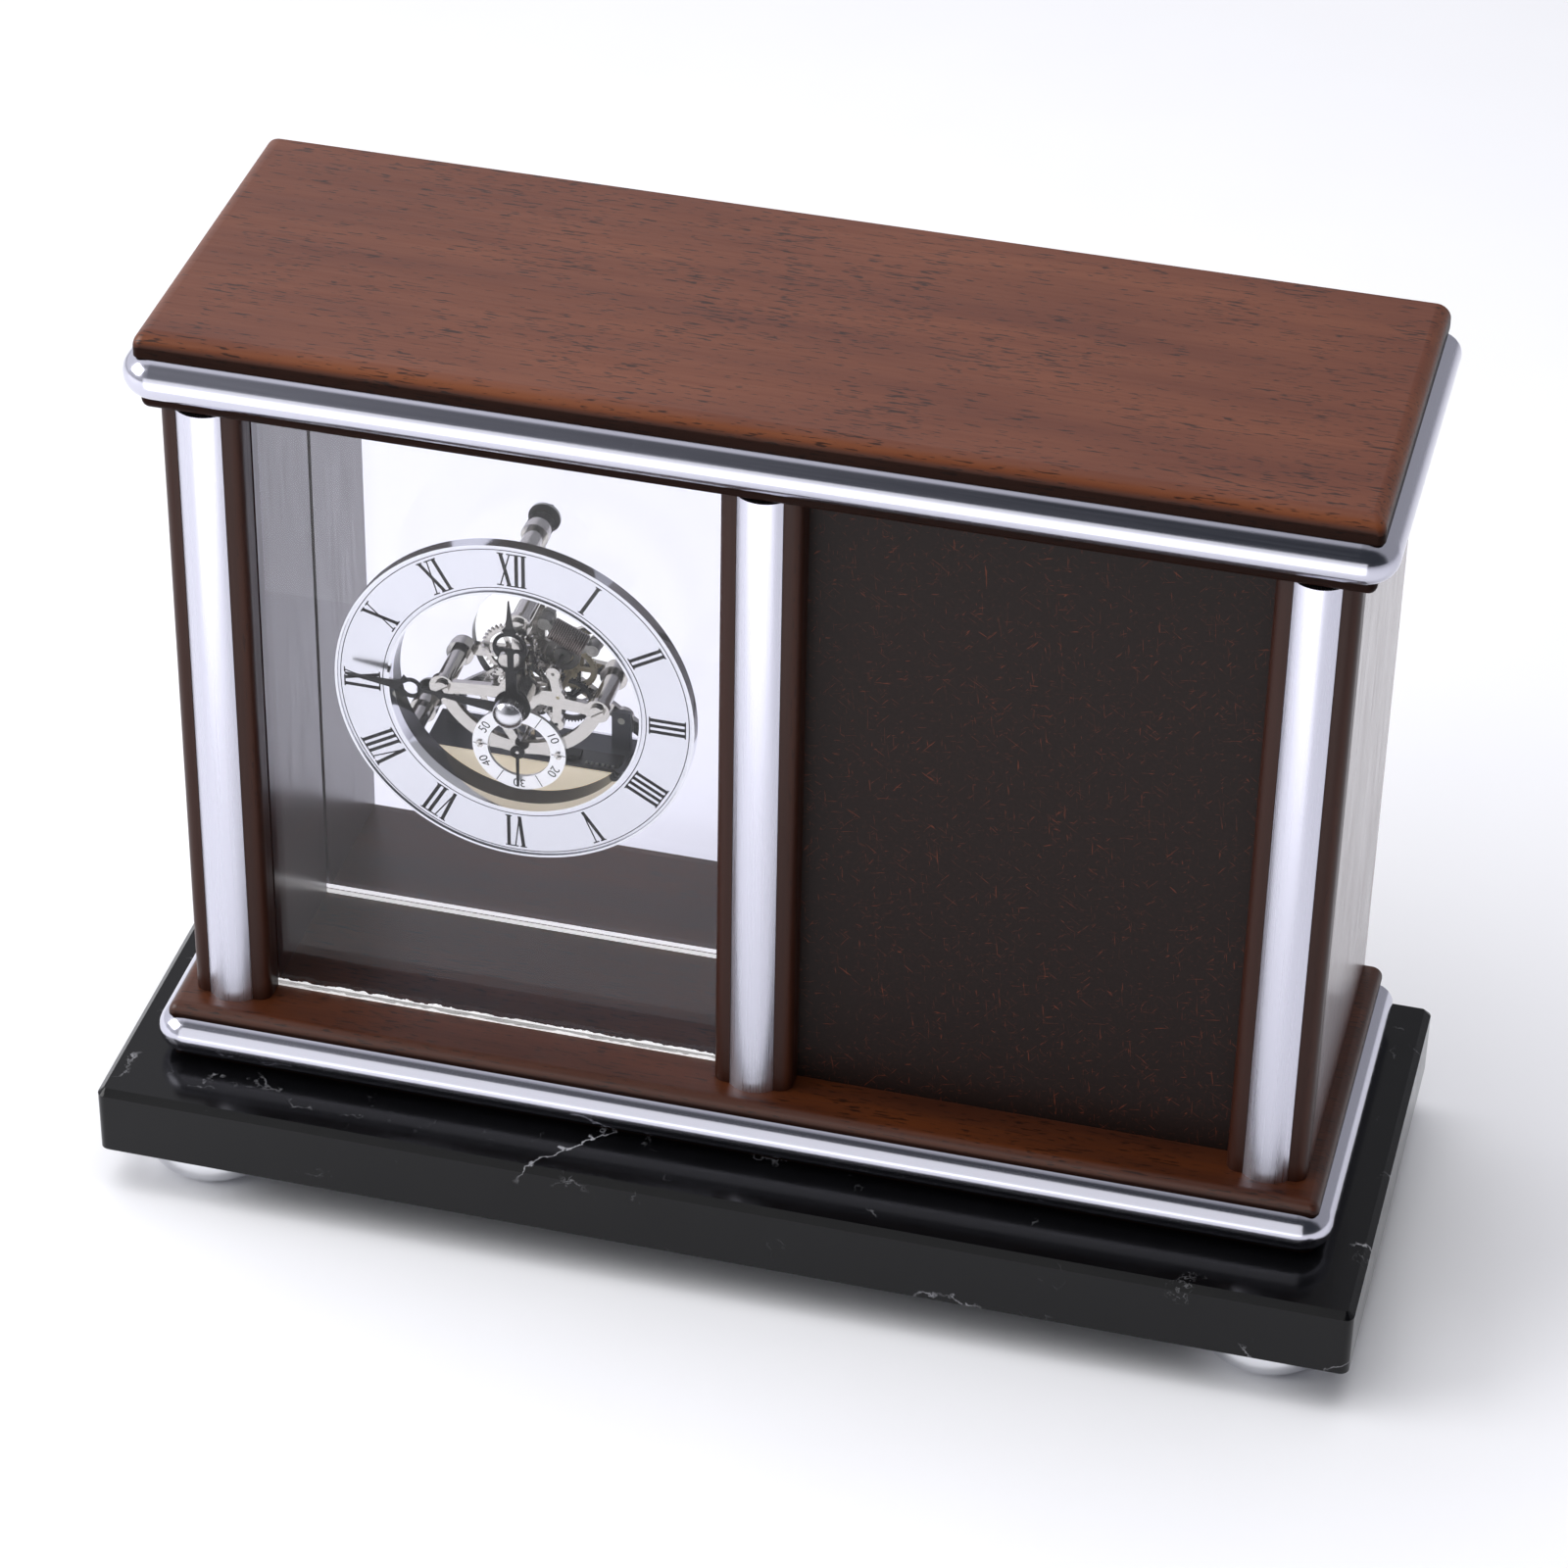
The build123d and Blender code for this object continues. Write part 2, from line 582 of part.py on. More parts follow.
plinth += layer(
    PLINTH_WIDTH - 2 * STRIP_SETBACK, PLINTH_FRONT + STRIP_SETBACK, WOOD_BACK,
    SLAB_TOP, PLINTH_BAND_BOTTOM, BOARD_CORNER)
for x, y in BASE_SCREWS_AT:
    plinth -= upright(x, y, SLAB_TOP, BASE_SCREW_TOP, BASE_SCREW_RADIUS + HOLE_CLEARANCE)
for x, y in CASE_SCREWS_AT:
    plinth -= upright(x, y, SLAB_TOP, PLINTH_TOP, CASE_SCREW_RADIUS + HOLE_CLEARANCE)
    plinth -= upright(x, y, SLAB_TOP, CASE_SCREW_SEAT, CASE_SCREW_HEAD_RADIUS + HOLE_CLEARANCE)
PIECES["plinth_board"] = plinth
PIECES["case_screws"] = group(
    standing_screw(
        x, y, CASE_SCREW_SEAT, CASE_SCREW_TOP,
        CASE_SCREW_RADIUS, CASE_SCREW_HEAD_RADIUS, CASE_SCREW_HEAD) for x, y in CASE_SCREWS_AT)


# Half-round bands, each one strip bent to a U round the front and both ends of a board
def bent_band(width, front, back, bottom):
    side = width / 2 - BAND_SINK
    face = front + BAND_SINK
    end = back - BAND_STOP
    middle = bottom + BAND_CLEARANCE + BAND_HEIGHT / 2
    path = FilletPolyline(
        (side, end, middle), (side, face, middle), (-side, face, middle), (-side, end, middle),
        radius=BAND_BEND)
    start = Plane(origin=(side, end, middle), x_dir=(1, 0, 0), z_dir=(0, -1, 0))
    return sweep(start * half_round(BAND_HEIGHT, BAND_SINK, BAND_BULGE), path=path)


PIECES["plinth_band"] = bent_band(PLINTH_WIDTH, PLINTH_FRONT, WOOD_BACK, PLINTH_BAND_BOTTOM)
PIECES["cornice_band"] = bent_band(CORNICE_WIDTH, CORNICE_FRONT, CORNICE_BACK, CORNICE_BAND_BOTTOM)

# Side panels and partition, rebated for the front sheets and the rear cover, grooved for the pane
DOWELS_AT = CASE_SCREWS_AT
DOWEL_BOTTOM = CASE_TOP - DOWEL_IN_PANEL
DOWEL_TOP = CASE_TOP + DOWEL_IN_CORNICE
COVER_BACK = WOOD_BACK - COVER_RECESS
COVER_FRONT = COVER_BACK - SHEET_THICK


def panel(x0, x1):
    """An upright board with its screw and dowel holes."""
    board = block(x0, x1, SHEET_FRONT, WOOD_BACK, PLINTH_TOP, CASE_TOP)
    for x, y in CASE_SCREWS_AT:
        if x0 < x < x1:
            board -= upright(x, y, PLINTH_TOP, CASE_SCREW_TOP, CASE_SCREW_RADIUS + HOLE_CLEARANCE)
            board -= upright(x, y, DOWEL_BOTTOM, CASE_TOP, DOWEL_RADIUS + HOLE_CLEARANCE)
    return board


def front_rebate(x0, x1):
    """The step that takes the edge of a front sheet."""
    return block(x0, x1, SHEET_FRONT, SHEET_BACK + SHEET_CLEARANCE, PLINTH_TOP, CASE_TOP)


def cover_rebate(x0, x1):
    """The step that takes the edge of the rear cover."""
    return block(x0, x1, COVER_FRONT, WOOD_BACK, PLINTH_TOP, CASE_TOP)


def pane_groove(x0, x1):
    """The groove that takes the edge of the rear pane."""
    return block(
        x0, x1, PANE_FRONT - SHEET_CLEARANCE / 2, PANE_BACK + SHEET_CLEARANCE / 2, PLINTH_TOP, CASE_TOP)


SHEET_EDGE = SHEET_BITE - SHEET_CLEARANCE
PANE_EDGE = PANE_BITE - SHEET_CLEARANCE
COVER_SCREWS_AT = [
    (x, z) for x in (PARTITION_RIGHT - SHEET_BITE / 2, PANEL_INNER + SHEET_BITE / 2)
    for z in (PLINTH_TOP + COVER_SCREW_INSET, CASE_TOP - COVER_SCREW_INSET)]
COVER_SCREW_TIP = COVER_BACK - COVER_SCREW_LENGTH


def cover_bar(x, z, y0, y1, radius):
    """A round bar along Y at a rear cover screw."""
    return Pos(x, (y0 + y1) / 2, z) * Rot(90, 0, 0) * Cylinder(radius, y1 - y0)


left_panel = panel(-CASE_SIDE, -PANEL_INNER)
left_panel -= front_rebate(-PANEL_INNER - SHEET_BITE, -PANEL_INNER)
left_panel -= pane_groove(-PANEL_INNER - PANE_BITE, -PANEL_INNER)
partition = panel(PARTITION_LEFT, PARTITION_RIGHT)
partition -= front_rebate(PARTITION_LEFT, PARTITION_LEFT + SHEET_BITE)
partition -= front_rebate(PARTITION_RIGHT - SHEET_BITE, PARTITION_RIGHT)
partition -= pane_groove(PARTITION_LEFT, PARTITION_LEFT + PANE_BITE)
partition -= cover_rebate(PARTITION_RIGHT - SHEET_BITE, PARTITION_RIGHT)
right_panel = panel(PANEL_INNER, CASE_SIDE)
right_panel -= front_rebate(PANEL_INNER, PANEL_INNER + SHEET_BITE)
right_panel -= cover_rebate(PANEL_INNER, PANEL_INNER + SHEET_BITE)
for x, z in COVER_SCREWS_AT:
    hole = cover_bar(x, z, COVER_SCREW_TIP, COVER_BACK, COVER_SCREW_RADIUS + HOLE_CLEARANCE)
    partition -= hole
    right_panel -= hole
PIECES["left_side_panel"] = left_panel
PIECES["partition"] = partition
PIECES["right_side_panel"] = right_panel

# Stiles on the front of the panels, each with a groove for its pilaster
STILES_AT = (("left", -STILE_SIDE_X), ("middle", PARTITION_X), ("right", STILE_SIDE_X))
GROOVE_HALF = PILASTER_WIDTH / 2 + PILASTER_CLEARANCE
GROOVE_FLOOR = STILE_FRONT + PILASTER_SINK
for side, x in STILES_AT:
    stile = block(x - STILE_WIDTH / 2, x + STILE_WIDTH / 2, STILE_FRONT, SHEET_FRONT, PLINTH_TOP, CASE_TOP)
    stile = fillet(stile.edges().filter_by(Axis.Z).group_by(Axis.Y)[0], STILE_ROUND)
    stile -= block(x - GROOVE_HALF, x + GROOVE_HALF, STILE_FRONT, GROOVE_FLOOR, PLINTH_TOP, CASE_TOP)
    PIECES[side + "_stile"] = stile
    foot_of_pilaster = Plane(origin=(x, GROOVE_FLOOR, PLINTH_TOP), x_dir=(0, -1, 0), z_dir=(0, 0, 1))
    profile = half_round(PILASTER_WIDTH, PILASTER_SINK, PILASTER_BULGE)
    PIECES[side + "_pilaster"] = extrude(
        foot_of_pilaster * profile, amount=CASE_HEIGHT - PILASTER_END_GAP)

# Front glass, plaque panel and rear cover
SHEET_TOP = CASE_TOP - SHEET_CLEARANCE
PIECES["front_glass"] = block(
    -PANEL_INNER - SHEET_EDGE, PARTITION_LEFT + SHEET_EDGE,
    SHEET_FRONT, SHEET_BACK, PLINTH_TOP, SHEET_TOP)
PIECES["plaque_panel"] = block(
    PARTITION_RIGHT - SHEET_EDGE, PANEL_INNER + SHEET_EDGE,
    SHEET_FRONT, SHEET_BACK, PLINTH_TOP, SHEET_TOP)
cover = block(
    PARTITION_RIGHT - SHEET_EDGE, PANEL_INNER + SHEET_EDGE,
    COVER_FRONT, COVER_BACK, PLINTH_TOP, SHEET_TOP)
cover_screws = []
for x, z in COVER_SCREWS_AT:
    cover -= cover_bar(x, z, COVER_FRONT, COVER_BACK, COVER_SCREW_RADIUS + HOLE_CLEARANCE)
    head_back = COVER_BACK + COVER_SCREW_HEAD
    screw = cover_bar(x, z, COVER_SCREW_TIP, COVER_BACK, COVER_SCREW_RADIUS)
    screw += cover_bar(x, z, COVER_BACK, head_back, COVER_SCREW_HEAD_RADIUS)
    screw -= block(
        x - COVER_SCREW_HEAD_RADIUS, x + COVER_SCREW_HEAD_RADIUS, head_back - SLOT_DEPTH, head_back,
        z - SLOT_WIDTH / 2, z + SLOT_WIDTH / 2)
    cover_screws.append(screw)
PIECES["rear_cover"] = cover
PIECES["cover_screws"] = group(cover_screws)

# Rear pane that carries the movement, with stud holes, a window for the setting knob and a battery door
PANE_WINDOW_HALF = CELL_LENGTH / 2 + CELL_ROOM
PANE_WINDOW_RISE = CELL_RADIUS + CELL_ROOM
pane = block(
    -PANEL_INNER - PANE_EDGE, PARTITION_LEFT + PANE_EDGE, PANE_FRONT, PANE_BACK, PLINTH_TOP, SHEET_TOP)
pane -= rod(CENTRE_AT, PANE_FRONT, PANE_BACK, PANE_WINDOW_RADIUS)
pane -= block(
    DIAL_X - PANE_WINDOW_HALF, DIAL_X + PANE_WINDOW_HALF, PANE_FRONT, PANE_BACK,
    DIAL_Z + CELL_MIDDLE_Z - PANE_WINDOW_RISE, DIAL_Z + CELL_MIDDLE_Z + PANE_WINDOW_RISE)
for at in DIAL_PILLARS_AT:
    pane -= rod(at, PANE_FRONT, PANE_BACK, STUD_RADIUS + PANE_HOLE_CLEARANCE)
PIECES["rear_pane"] = pane

# Cornice board: a thin lip, a core cut back for the band and a bull-nosed upper edge
cornice = round_front_edges(
    layer(CORNICE_WIDTH, CORNICE_FRONT, CORNICE_BACK, CORNICE_BAND_TOP, CORNICE_TOP, BOARD_CORNER),
    -1, CORNICE_ROUND)
cornice += layer(
    CORNICE_WIDTH - 2 * BAND_SINK, CORNICE_FRONT + BAND_SINK, CORNICE_BACK,
    CORNICE_BAND_BOTTOM, CORNICE_BAND_TOP, BAND_BEND)
cornice += round_front_edges(
    layer(
        CORNICE_WIDTH - 2 * LIP_SETBACK, CORNICE_FRONT + LIP_SETBACK, CORNICE_BACK,
        CASE_TOP, CORNICE_BAND_BOTTOM, BOARD_CORNER), 0, LIP_ROUND)
for x, y in DOWELS_AT:
    cornice -= upright(x, y, CASE_TOP, DOWEL_TOP, DOWEL_RADIUS + HOLE_CLEARANCE)
PIECES["cornice_board"] = cornice
PIECES["cornice_dowels"] = group(
    upright(x, y, DOWEL_BOTTOM, DOWEL_TOP, DOWEL_RADIUS) for x, y in DOWELS_AT)

# Dial: a flat printed ring seated in a turned channel ring, whose inner wall runs on back as a sleeve
DRUM_SEAT = DIAL_FACE + DIAL_THICK
DIAL_OUTER = DIAL_RADIUS - DRUM_WALL
DIAL_INNER = DIAL_HOLE_RADIUS + DRUM_WALL
drum = ring(CENTRE_AT, DRUM_FRONT, DRUM_REAR, DIAL_RADIUS, DIAL_HOLE_RADIUS)
drum -= ring(CENTRE_AT, DRUM_FRONT, DRUM_SEAT, DIAL_OUTER, DIAL_INNER)
drum -= ring(
    CENTRE_AT, DRUM_FRONT, DRUM_REAR - DRUM_BACK, DIAL_OUTER - DRUM_LEDGE, DIAL_INNER + DRUM_LEDGE)
drum += ring(CENTRE_AT, DRUM_FRONT, SLEEVE_REAR, DIAL_INNER, DIAL_HOLE_RADIUS)
for at in DIAL_PILLARS_AT:
    drum -= rod(at, DRUM_FRONT, DRUM_REAR, STUD_RADIUS + HOLE_CLEARANCE)
PIECES["dial_drum"] = drum
PIECES["dial_ring"] = ring(
    CENTRE_AT, DIAL_FACE, DRUM_SEAT, DIAL_OUTER - DIAL_CLEARANCE, DIAL_INNER + DIAL_CLEARANCE)

# Dial pillars, flanged at the back, with a stud through the back plate and the pane
WASHER_BACK = PANE_BACK + WASHER_THICK
NUT_BACK = WASHER_BACK + NUT_THICK
STUD_BORE = STUD_RADIUS + HOLE_CLEARANCE
PIECES["dial_pillars"] = group(
    rod(at, DRUM_REAR, BACK_PLATE_FACE, DIAL_PILLAR_RADIUS)
    + rod(at, BACK_PLATE_FACE - FLANGE_THICK, BACK_PLATE_FACE, FLANGE_RADIUS)
    + rod(at, DRUM_REAR - DRUM_BACK, NUT_BACK + STUD_END, STUD_RADIUS) for at in DIAL_PILLARS_AT)
PIECES["pane_spacers"] = group(
    ring(at, BACK_PLATE_BACK, PANE_FRONT, SPACER_RADIUS, STUD_BORE) for at in DIAL_PILLARS_AT)
PIECES["pane_washers"] = group(
    ring(at, PANE_BACK, WASHER_BACK, WASHER_RADIUS, STUD_BORE) for at in DIAL_PILLARS_AT)
HEXAGON = RegularPolygon(NUT_ACROSS_FLATS / 2, 6, major_radius=False)
PIECES["pane_nuts"] = group(
    sheet(Pos(*at) * (HEXAGON - Circle(STUD_BORE)), WASHER_BACK, NUT_BACK) for at in DIAL_PILLARS_AT)


# Skeleton plates: eyes joined by arms, with holes for the pivots, screws and pillars
def arc_arm(start, end, low, width):
    """A curved arm from one point to its mirror image through a low point on the middle line."""
    half = end[0]
    rise = end[1] - low[1]
    radius = (half ** 2 + rise ** 2) / (2 * rise)
    centre = (low[0], low[1] + radius)
    band = Pos(*centre) * (Circle(radius + width / 2) - Circle(radius - width / 2))
    depth = end[1] - low[1] + width
    window = Pos(low[0], end[1] - depth / 2) * Rectangle(end[0] - start[0] + width, depth)
    return band & window


def lattice(eyes, bars):
    """Round eyes and straight arms as one flat shape."""
    shape = Circle(HUB_RADIUS)
    for at, radius in eyes:
        shape += Pos(*at) * Circle(radius)
    for start, end, width in bars:
        shape += bar(start, end, width)
    return shape


PIVOTS_AT = (THIRD_AT, FOURTH_AT, IDLER_AT, STEP_AT, ROTOR_AT, MINUTE_AT)
PIVOT_BORE = PIVOT_RADIUS + PIVOT_CLEARANCE
pivot_eyes = [(at, PIVOT_EYE_RADIUS) for at in PIVOTS_AT]
pivot_arms = [
    (CENTRE_AT, THIRD_AT, THIN_ARM_WIDTH), (CENTRE_AT, MINUTE_AT, THIN_ARM_WIDTH),
    (STEP_AT, ROTOR_AT, THIN_ARM_WIDTH), (STEP_AT, IDLER_AT, THIN_ARM_WIDTH),
    (CENTRE_AT, STEP_AT, ARM_WIDTH), (THIRD_AT, FOURTH_AT, THIN_ARM_WIDTH)]
pillar_eyes = [(at, EYE_RADIUS) for at in PLATE_PILLARS_AT]
pillar_arms = [(CENTRE_AT, at, ARM_WIDTH) for at in PLATE_PILLARS_AT]
sub_dial_ears = [(at, PIVOT_EYE_RADIUS) for at in SUB_SCREWS_AT]
sub_dial_arms = [(SUB_SCREWS_AT[0], SUB_SCREWS_AT[1], THIN_ARM_WIDTH)]
front_shape = lattice(pillar_eyes + pivot_eyes + sub_dial_ears, pillar_arms + pivot_arms + sub_dial_arms)
front_shape += arc_arm(LEFT_PILLAR_AT, RIGHT_PILLAR_AT, FOURTH_AT, ARM_WIDTH)
front_plate = sheet(front_shape, FRONT_PLATE_FACE, FRONT_PLATE_BACK)
front_plate -= rod(CENTRE_AT, FRONT_PLATE_FACE, FRONT_PLATE_BACK, BUSH_RADIUS)
for at in PIVOTS_AT:
    front_plate -= rod(at, FRONT_PLATE_FACE, FRONT_PLATE_BACK, PIVOT_BORE)
for at in PLATE_PILLARS_AT:
    front_plate -= rod(at, FRONT_PLATE_FACE, FRONT_PLATE_BACK, PLATE_SCREW_RADIUS + HOLE_CLEARANCE)
for at in SUB_SCREWS_AT:
    front_plate -= rod(at, FRONT_PLATE_FACE, FRONT_PLATE_BACK, SUB_SCREW_RADIUS + HOLE_CLEARANCE)
PIECES["front_plate"] = front_plate

MINUTE_ARBOR_BORE = ARBOR_RADIUS + PIVOT_CLEARANCE
POSTS_AT = (CORE_END_LEFT, CORE_END_RIGHT)
SPIGOT_RADIUS = STUD_RADIUS
POST_SPIGOT_RADIUS = CORE_RADIUS
dial_eyes = [(at, EYE_RADIUS) for at in DIAL_PILLARS_AT]
dial_arms = [(CENTRE_AT, at, ARM_WIDTH) for at in DIAL_PILLARS_AT]
post_eyes = [(at, PIVOT_EYE_RADIUS) for at in POSTS_AT]
post_arms = [(TOP_PILLAR_AT, CORE_END_LEFT, THIN_ARM_WIDTH), (ROTOR_AT, CORE_END_RIGHT, THIN_ARM_WIDTH)]
ear_eyes = [(at, EAR_EYE_RADIUS) for at in EARS_AT]
back_shape = lattice(
    pillar_eyes + pivot_eyes + dial_eyes + post_eyes + ear_eyes,
    pillar_arms + pivot_arms + dial_arms + post_arms)
back_plate = sheet(back_shape, BACK_PLATE_FACE, BACK_PLATE_BACK)
for at in PIVOTS_AT + (CENTRE_AT,):
    bore = MINUTE_ARBOR_BORE if at == MINUTE_AT else PIVOT_BORE
    back_plate -= rod(at, BACK_PLATE_FACE, BACK_PLATE_BACK, bore)
for at in PLATE_PILLARS_AT:
    back_plate -= rod(at, BACK_PLATE_FACE, BACK_PLATE_BACK, SPIGOT_RADIUS + HOLE_CLEARANCE)
for at in DIAL_PILLARS_AT:
    back_plate -= rod(at, BACK_PLATE_FACE, BACK_PLATE_BACK, STUD_BORE)
for at in POSTS_AT:
    back_plate -= rod(at, BACK_PLATE_FACE, BACK_PLATE_BACK, POST_SPIGOT_RADIUS + HOLE_CLEARANCE)
for at in EARS_AT:
    back_plate -= rod(at, BACK_PLATE_FACE, BACK_PLATE_BACK, HOLDER_SCREW_RADIUS + HOLE_CLEARANCE)
PIECES["back_plate"] = back_plate

# Plate pillars, flanged at the back, with a slotted screw each at the front
PLATE_SCREW_TIP = FRONT_PLATE_BACK + PLATE_SCREW_BITE
PLATE_SCREW_FACE = FRONT_PLATE_FACE - PLATE_SCREW_HEAD
PIECES["plate_pillars"] = group(
    rod(at, FRONT_PLATE_BACK, BACK_PLATE_FACE, PLATE_PILLAR_RADIUS)
    + rod(at, BACK_PLATE_FACE - FLANGE_THICK, BACK_PLATE_FACE, FLANGE_RADIUS)
    + rod(at, BACK_PLATE_FACE, BACK_PLATE_BACK, SPIGOT_RADIUS)
    - rod(at, FRONT_PLATE_BACK, PLATE_SCREW_TIP, PLATE_SCREW_RADIUS + HOLE_CLEARANCE)
    for at in PLATE_PILLARS_AT)
PIECES["plate_screws"] = group(
    slotted(
        rod(at, PLATE_SCREW_FACE, FRONT_PLATE_FACE, PLATE_SCREW_HEAD_RADIUS)
        + rod(at, FRONT_PLATE_FACE, PLATE_SCREW_TIP, PLATE_SCREW_RADIUS),
        at, PLATE_SCREW_FACE, PLATE_SCREW_HEAD_RADIUS) for at in PLATE_PILLARS_AT)

# Seconds dial with its two screws
SUB_SCREW_FACE = SUB_DIAL_FACE - SUB_SCREW_HEAD
SUB_BORE = SUB_SCREW_RADIUS + HOLE_CLEARANCE
sub_dial = ring(FOURTH_AT, SUB_DIAL_FACE, FRONT_PLATE_FACE, SUB_DIAL_RADIUS, SUB_DIAL_HOLE)
for at in SUB_SCREWS_AT:
    sub_dial -= rod(at, SUB_DIAL_FACE, FRONT_PLATE_FACE, SUB_BORE)
PIECES["seconds_dial"] = sub_dial
PIECES["seconds_dial_screws"] = group(
    slotted(
        rod(at, SUB_SCREW_FACE, SUB_DIAL_FACE, SUB_SCREW_HEAD_RADIUS)
        + rod(at, SUB_DIAL_FACE, FRONT_PLATE_BACK, SUB_SCREW_RADIUS),
        at, SUB_SCREW_FACE, SUB_SCREW_HEAD_RADIUS) for at in SUB_SCREWS_AT)

# Centre bush, pressed into the front plate, in which the hour pipe runs
BUSH_BORE = HOUR_PIPE_RADIUS + PIPE_CLEARANCE
PIECES["centre_bush"] = ring(
    CENTRE_AT, FRONT_PLATE_FACE - BUSH_LENGTH, FRONT_PLATE_BACK, BUSH_RADIUS, BUSH_BORE)


# Wheels
def toothed(teeth, module, turn, shares):
    """A toothed outline: each flank runs straight from the root to the pitch circle to the tip."""
    pitch_radius = teeth * module / 2
    tip = pitch_radius + ADDENDUM * module
    root = pitch_radius - DEDENDUM * module
    root_share, pitch_share, tip_share = shares
    step = 360 / teeth
    points = []
    for tooth in range(teeth):
        for radius, share in (
                (root, -root_share), (pitch_radius, -pitch_share), (tip, -tip_share),
                (tip, tip_share), (pitch_radius, pitch_share), (root, root_share)):
            points.append(on_bearing(CENTRE_AT, radius, turn + step * (tooth + share)))
    return outline(*points)


def wheel_teeth(teeth, module, turn):
    """The thick-footed teeth of a wheel."""
    return toothed(teeth, module, turn, WHEEL_TOOTH_SHARES)


def pinion_teeth(teeth, module, turn):
    """The slender leaves of a pinion."""
    return toothed(teeth, module, turn, PINION_TOOTH_SHARES)


def spoked(teeth, module, turn, hub):
    """A wheel crossed out to four spokes."""
    opening = teeth * module / 2 - DEDENDUM * module - RIM_WIDTH
    spokes = Rectangle(2 * opening, SPOKE_WIDTH) + Rectangle(SPOKE_WIDTH, 2 * opening)
    windows = Circle(opening) - Circle(hub) - spokes
    return wheel_teeth(teeth, module, turn) - Rot(0, 0, turn) * windows


def meshing_turn(first_at, first_teeth, first_turn, second_at, second_teeth):
    """How far the second wheel is turned so that its gaps meet the teeth of the first."""
    bearing = degrees(atan2(second_at[1] - first_at[1], second_at[0] - first_at[0]))
    lead = ((bearing - first_turn) * first_teeth / 360) % 1
    return bearing + 180 - (0.5 - lead) * 360 / second_teeth


def arbor(at):
    """A plain arbor between the plates, with a pivot at each end."""
    return (
        rod(at, FRONT_PLATE_BACK + END_SHAKE, BACK_PLATE_FACE - END_SHAKE, ARBOR_RADIUS)
        + rod(at, FRONT_PLATE_FACE, BACK_PLATE_BACK, PIVOT_RADIUS))


def on_arbor(at, shape, front):
    """A wheel or pinion of one wheel thickness, placed on an arbor."""
    return sheet(Pos(*at) * shape, front, front + WHEEL_THICK)


CENTRE_TURN = 0.0
THIRD_PINION_TURN = meshing_turn(CENTRE_AT, CENTRE_TEETH, CENTRE_TURN, THIRD_AT, THIRD_PINION)
THIRD_TURN = 0.0
FOURTH_PINION_TURN = meshing_turn(THIRD_AT, THIRD_TEETH, THIRD_TURN, FOURTH_AT, FOURTH_PINION)
FOURTH_TURN = 0.0
IDLER_TURN = meshing_turn(FOURTH_AT, FOURTH_TEETH, FOURTH_TURN, IDLER_AT, IDLER_TEETH)
STEP_PINION_TURN = meshing_turn(IDLER_AT, IDLER_TEETH, IDLER_TURN, STEP_AT, STEP_PINION)
STEP_TURN = 0.0
ROTOR_TURN = meshing_turn(STEP_AT, STEP_TEETH, STEP_TURN, ROTOR_AT, ROTOR_PINION)
CANNON_TURN = 0.0
MINUTE_TURN = meshing_turn(CENTRE_AT, CANNON_TEETH, CANNON_TURN, MINUTE_AT, MINUTE_TEETH)
MINUTE_PINION_TURN = 0.0
HOUR_TURN = meshing_turn(MINUTE_AT, MINUTE_PINION, MINUTE_PINION_TURN, CENTRE_AT, HOUR_TEETH)

# Centre wheel on the long arbor that runs forward inside the cannon pinion
CANNON_FRONT = MINUTE_HAND_FACE - NUT_KNURLED * NUT_GRIP_SHARE
CANNON_BACK = MINUTE_LAYER + WHEEL_THICK
CANNON_BORE = CENTRE_ARBOR_RADIUS + PIPE_CLEARANCE
PIECES["centre_wheel"] = (
    on_arbor(CENTRE_AT, spoked(CENTRE_TEETH, MODULE, CENTRE_TURN, WHEEL_HUB_RADIUS), CENTRE_LAYER)
    + rod(CENTRE_AT, CANNON_FRONT, BACK_PLATE_FACE - END_SHAKE, CENTRE_ARBOR_RADIUS)
    + rod(CENTRE_AT, BACK_PLATE_FACE - END_SHAKE, BACK_PLATE_BACK, PIVOT_RADIUS))

# Cannon pinion, a tube that grips the centre arbor and carries the minute hand
cannon_shape = pinion_teeth(CANNON_TEETH, MINUTE_MODULE, CANNON_TURN)
PIECES["cannon_pinion"] = (
    on_arbor(CENTRE_AT, cannon_shape, MINUTE_LAYER)
    + rod(CENTRE_AT, CANNON_FRONT, CANNON_BACK, CANNON_RADIUS)
    - rod(CENTRE_AT, CANNON_FRONT, CANNON_BACK, CANNON_BORE))

# Hour wheel with its pipe, running round the cannon pinion
HOUR_BORE = CANNON_RADIUS + PIPE_CLEARANCE
HOUR_BACK = HOUR_LAYER + WHEEL_THICK
PIECES["hour_wheel"] = (
    on_arbor(CENTRE_AT, spoked(HOUR_TEETH, HOUR_MODULE, HOUR_TURN, BUSH_RADIUS), HOUR_LAYER)
    + rod(CENTRE_AT, HOUR_HAND_FACE, HOUR_BACK, HOUR_PIPE_RADIUS)
    - rod(CENTRE_AT, HOUR_HAND_FACE, HOUR_BACK, HOUR_BORE))

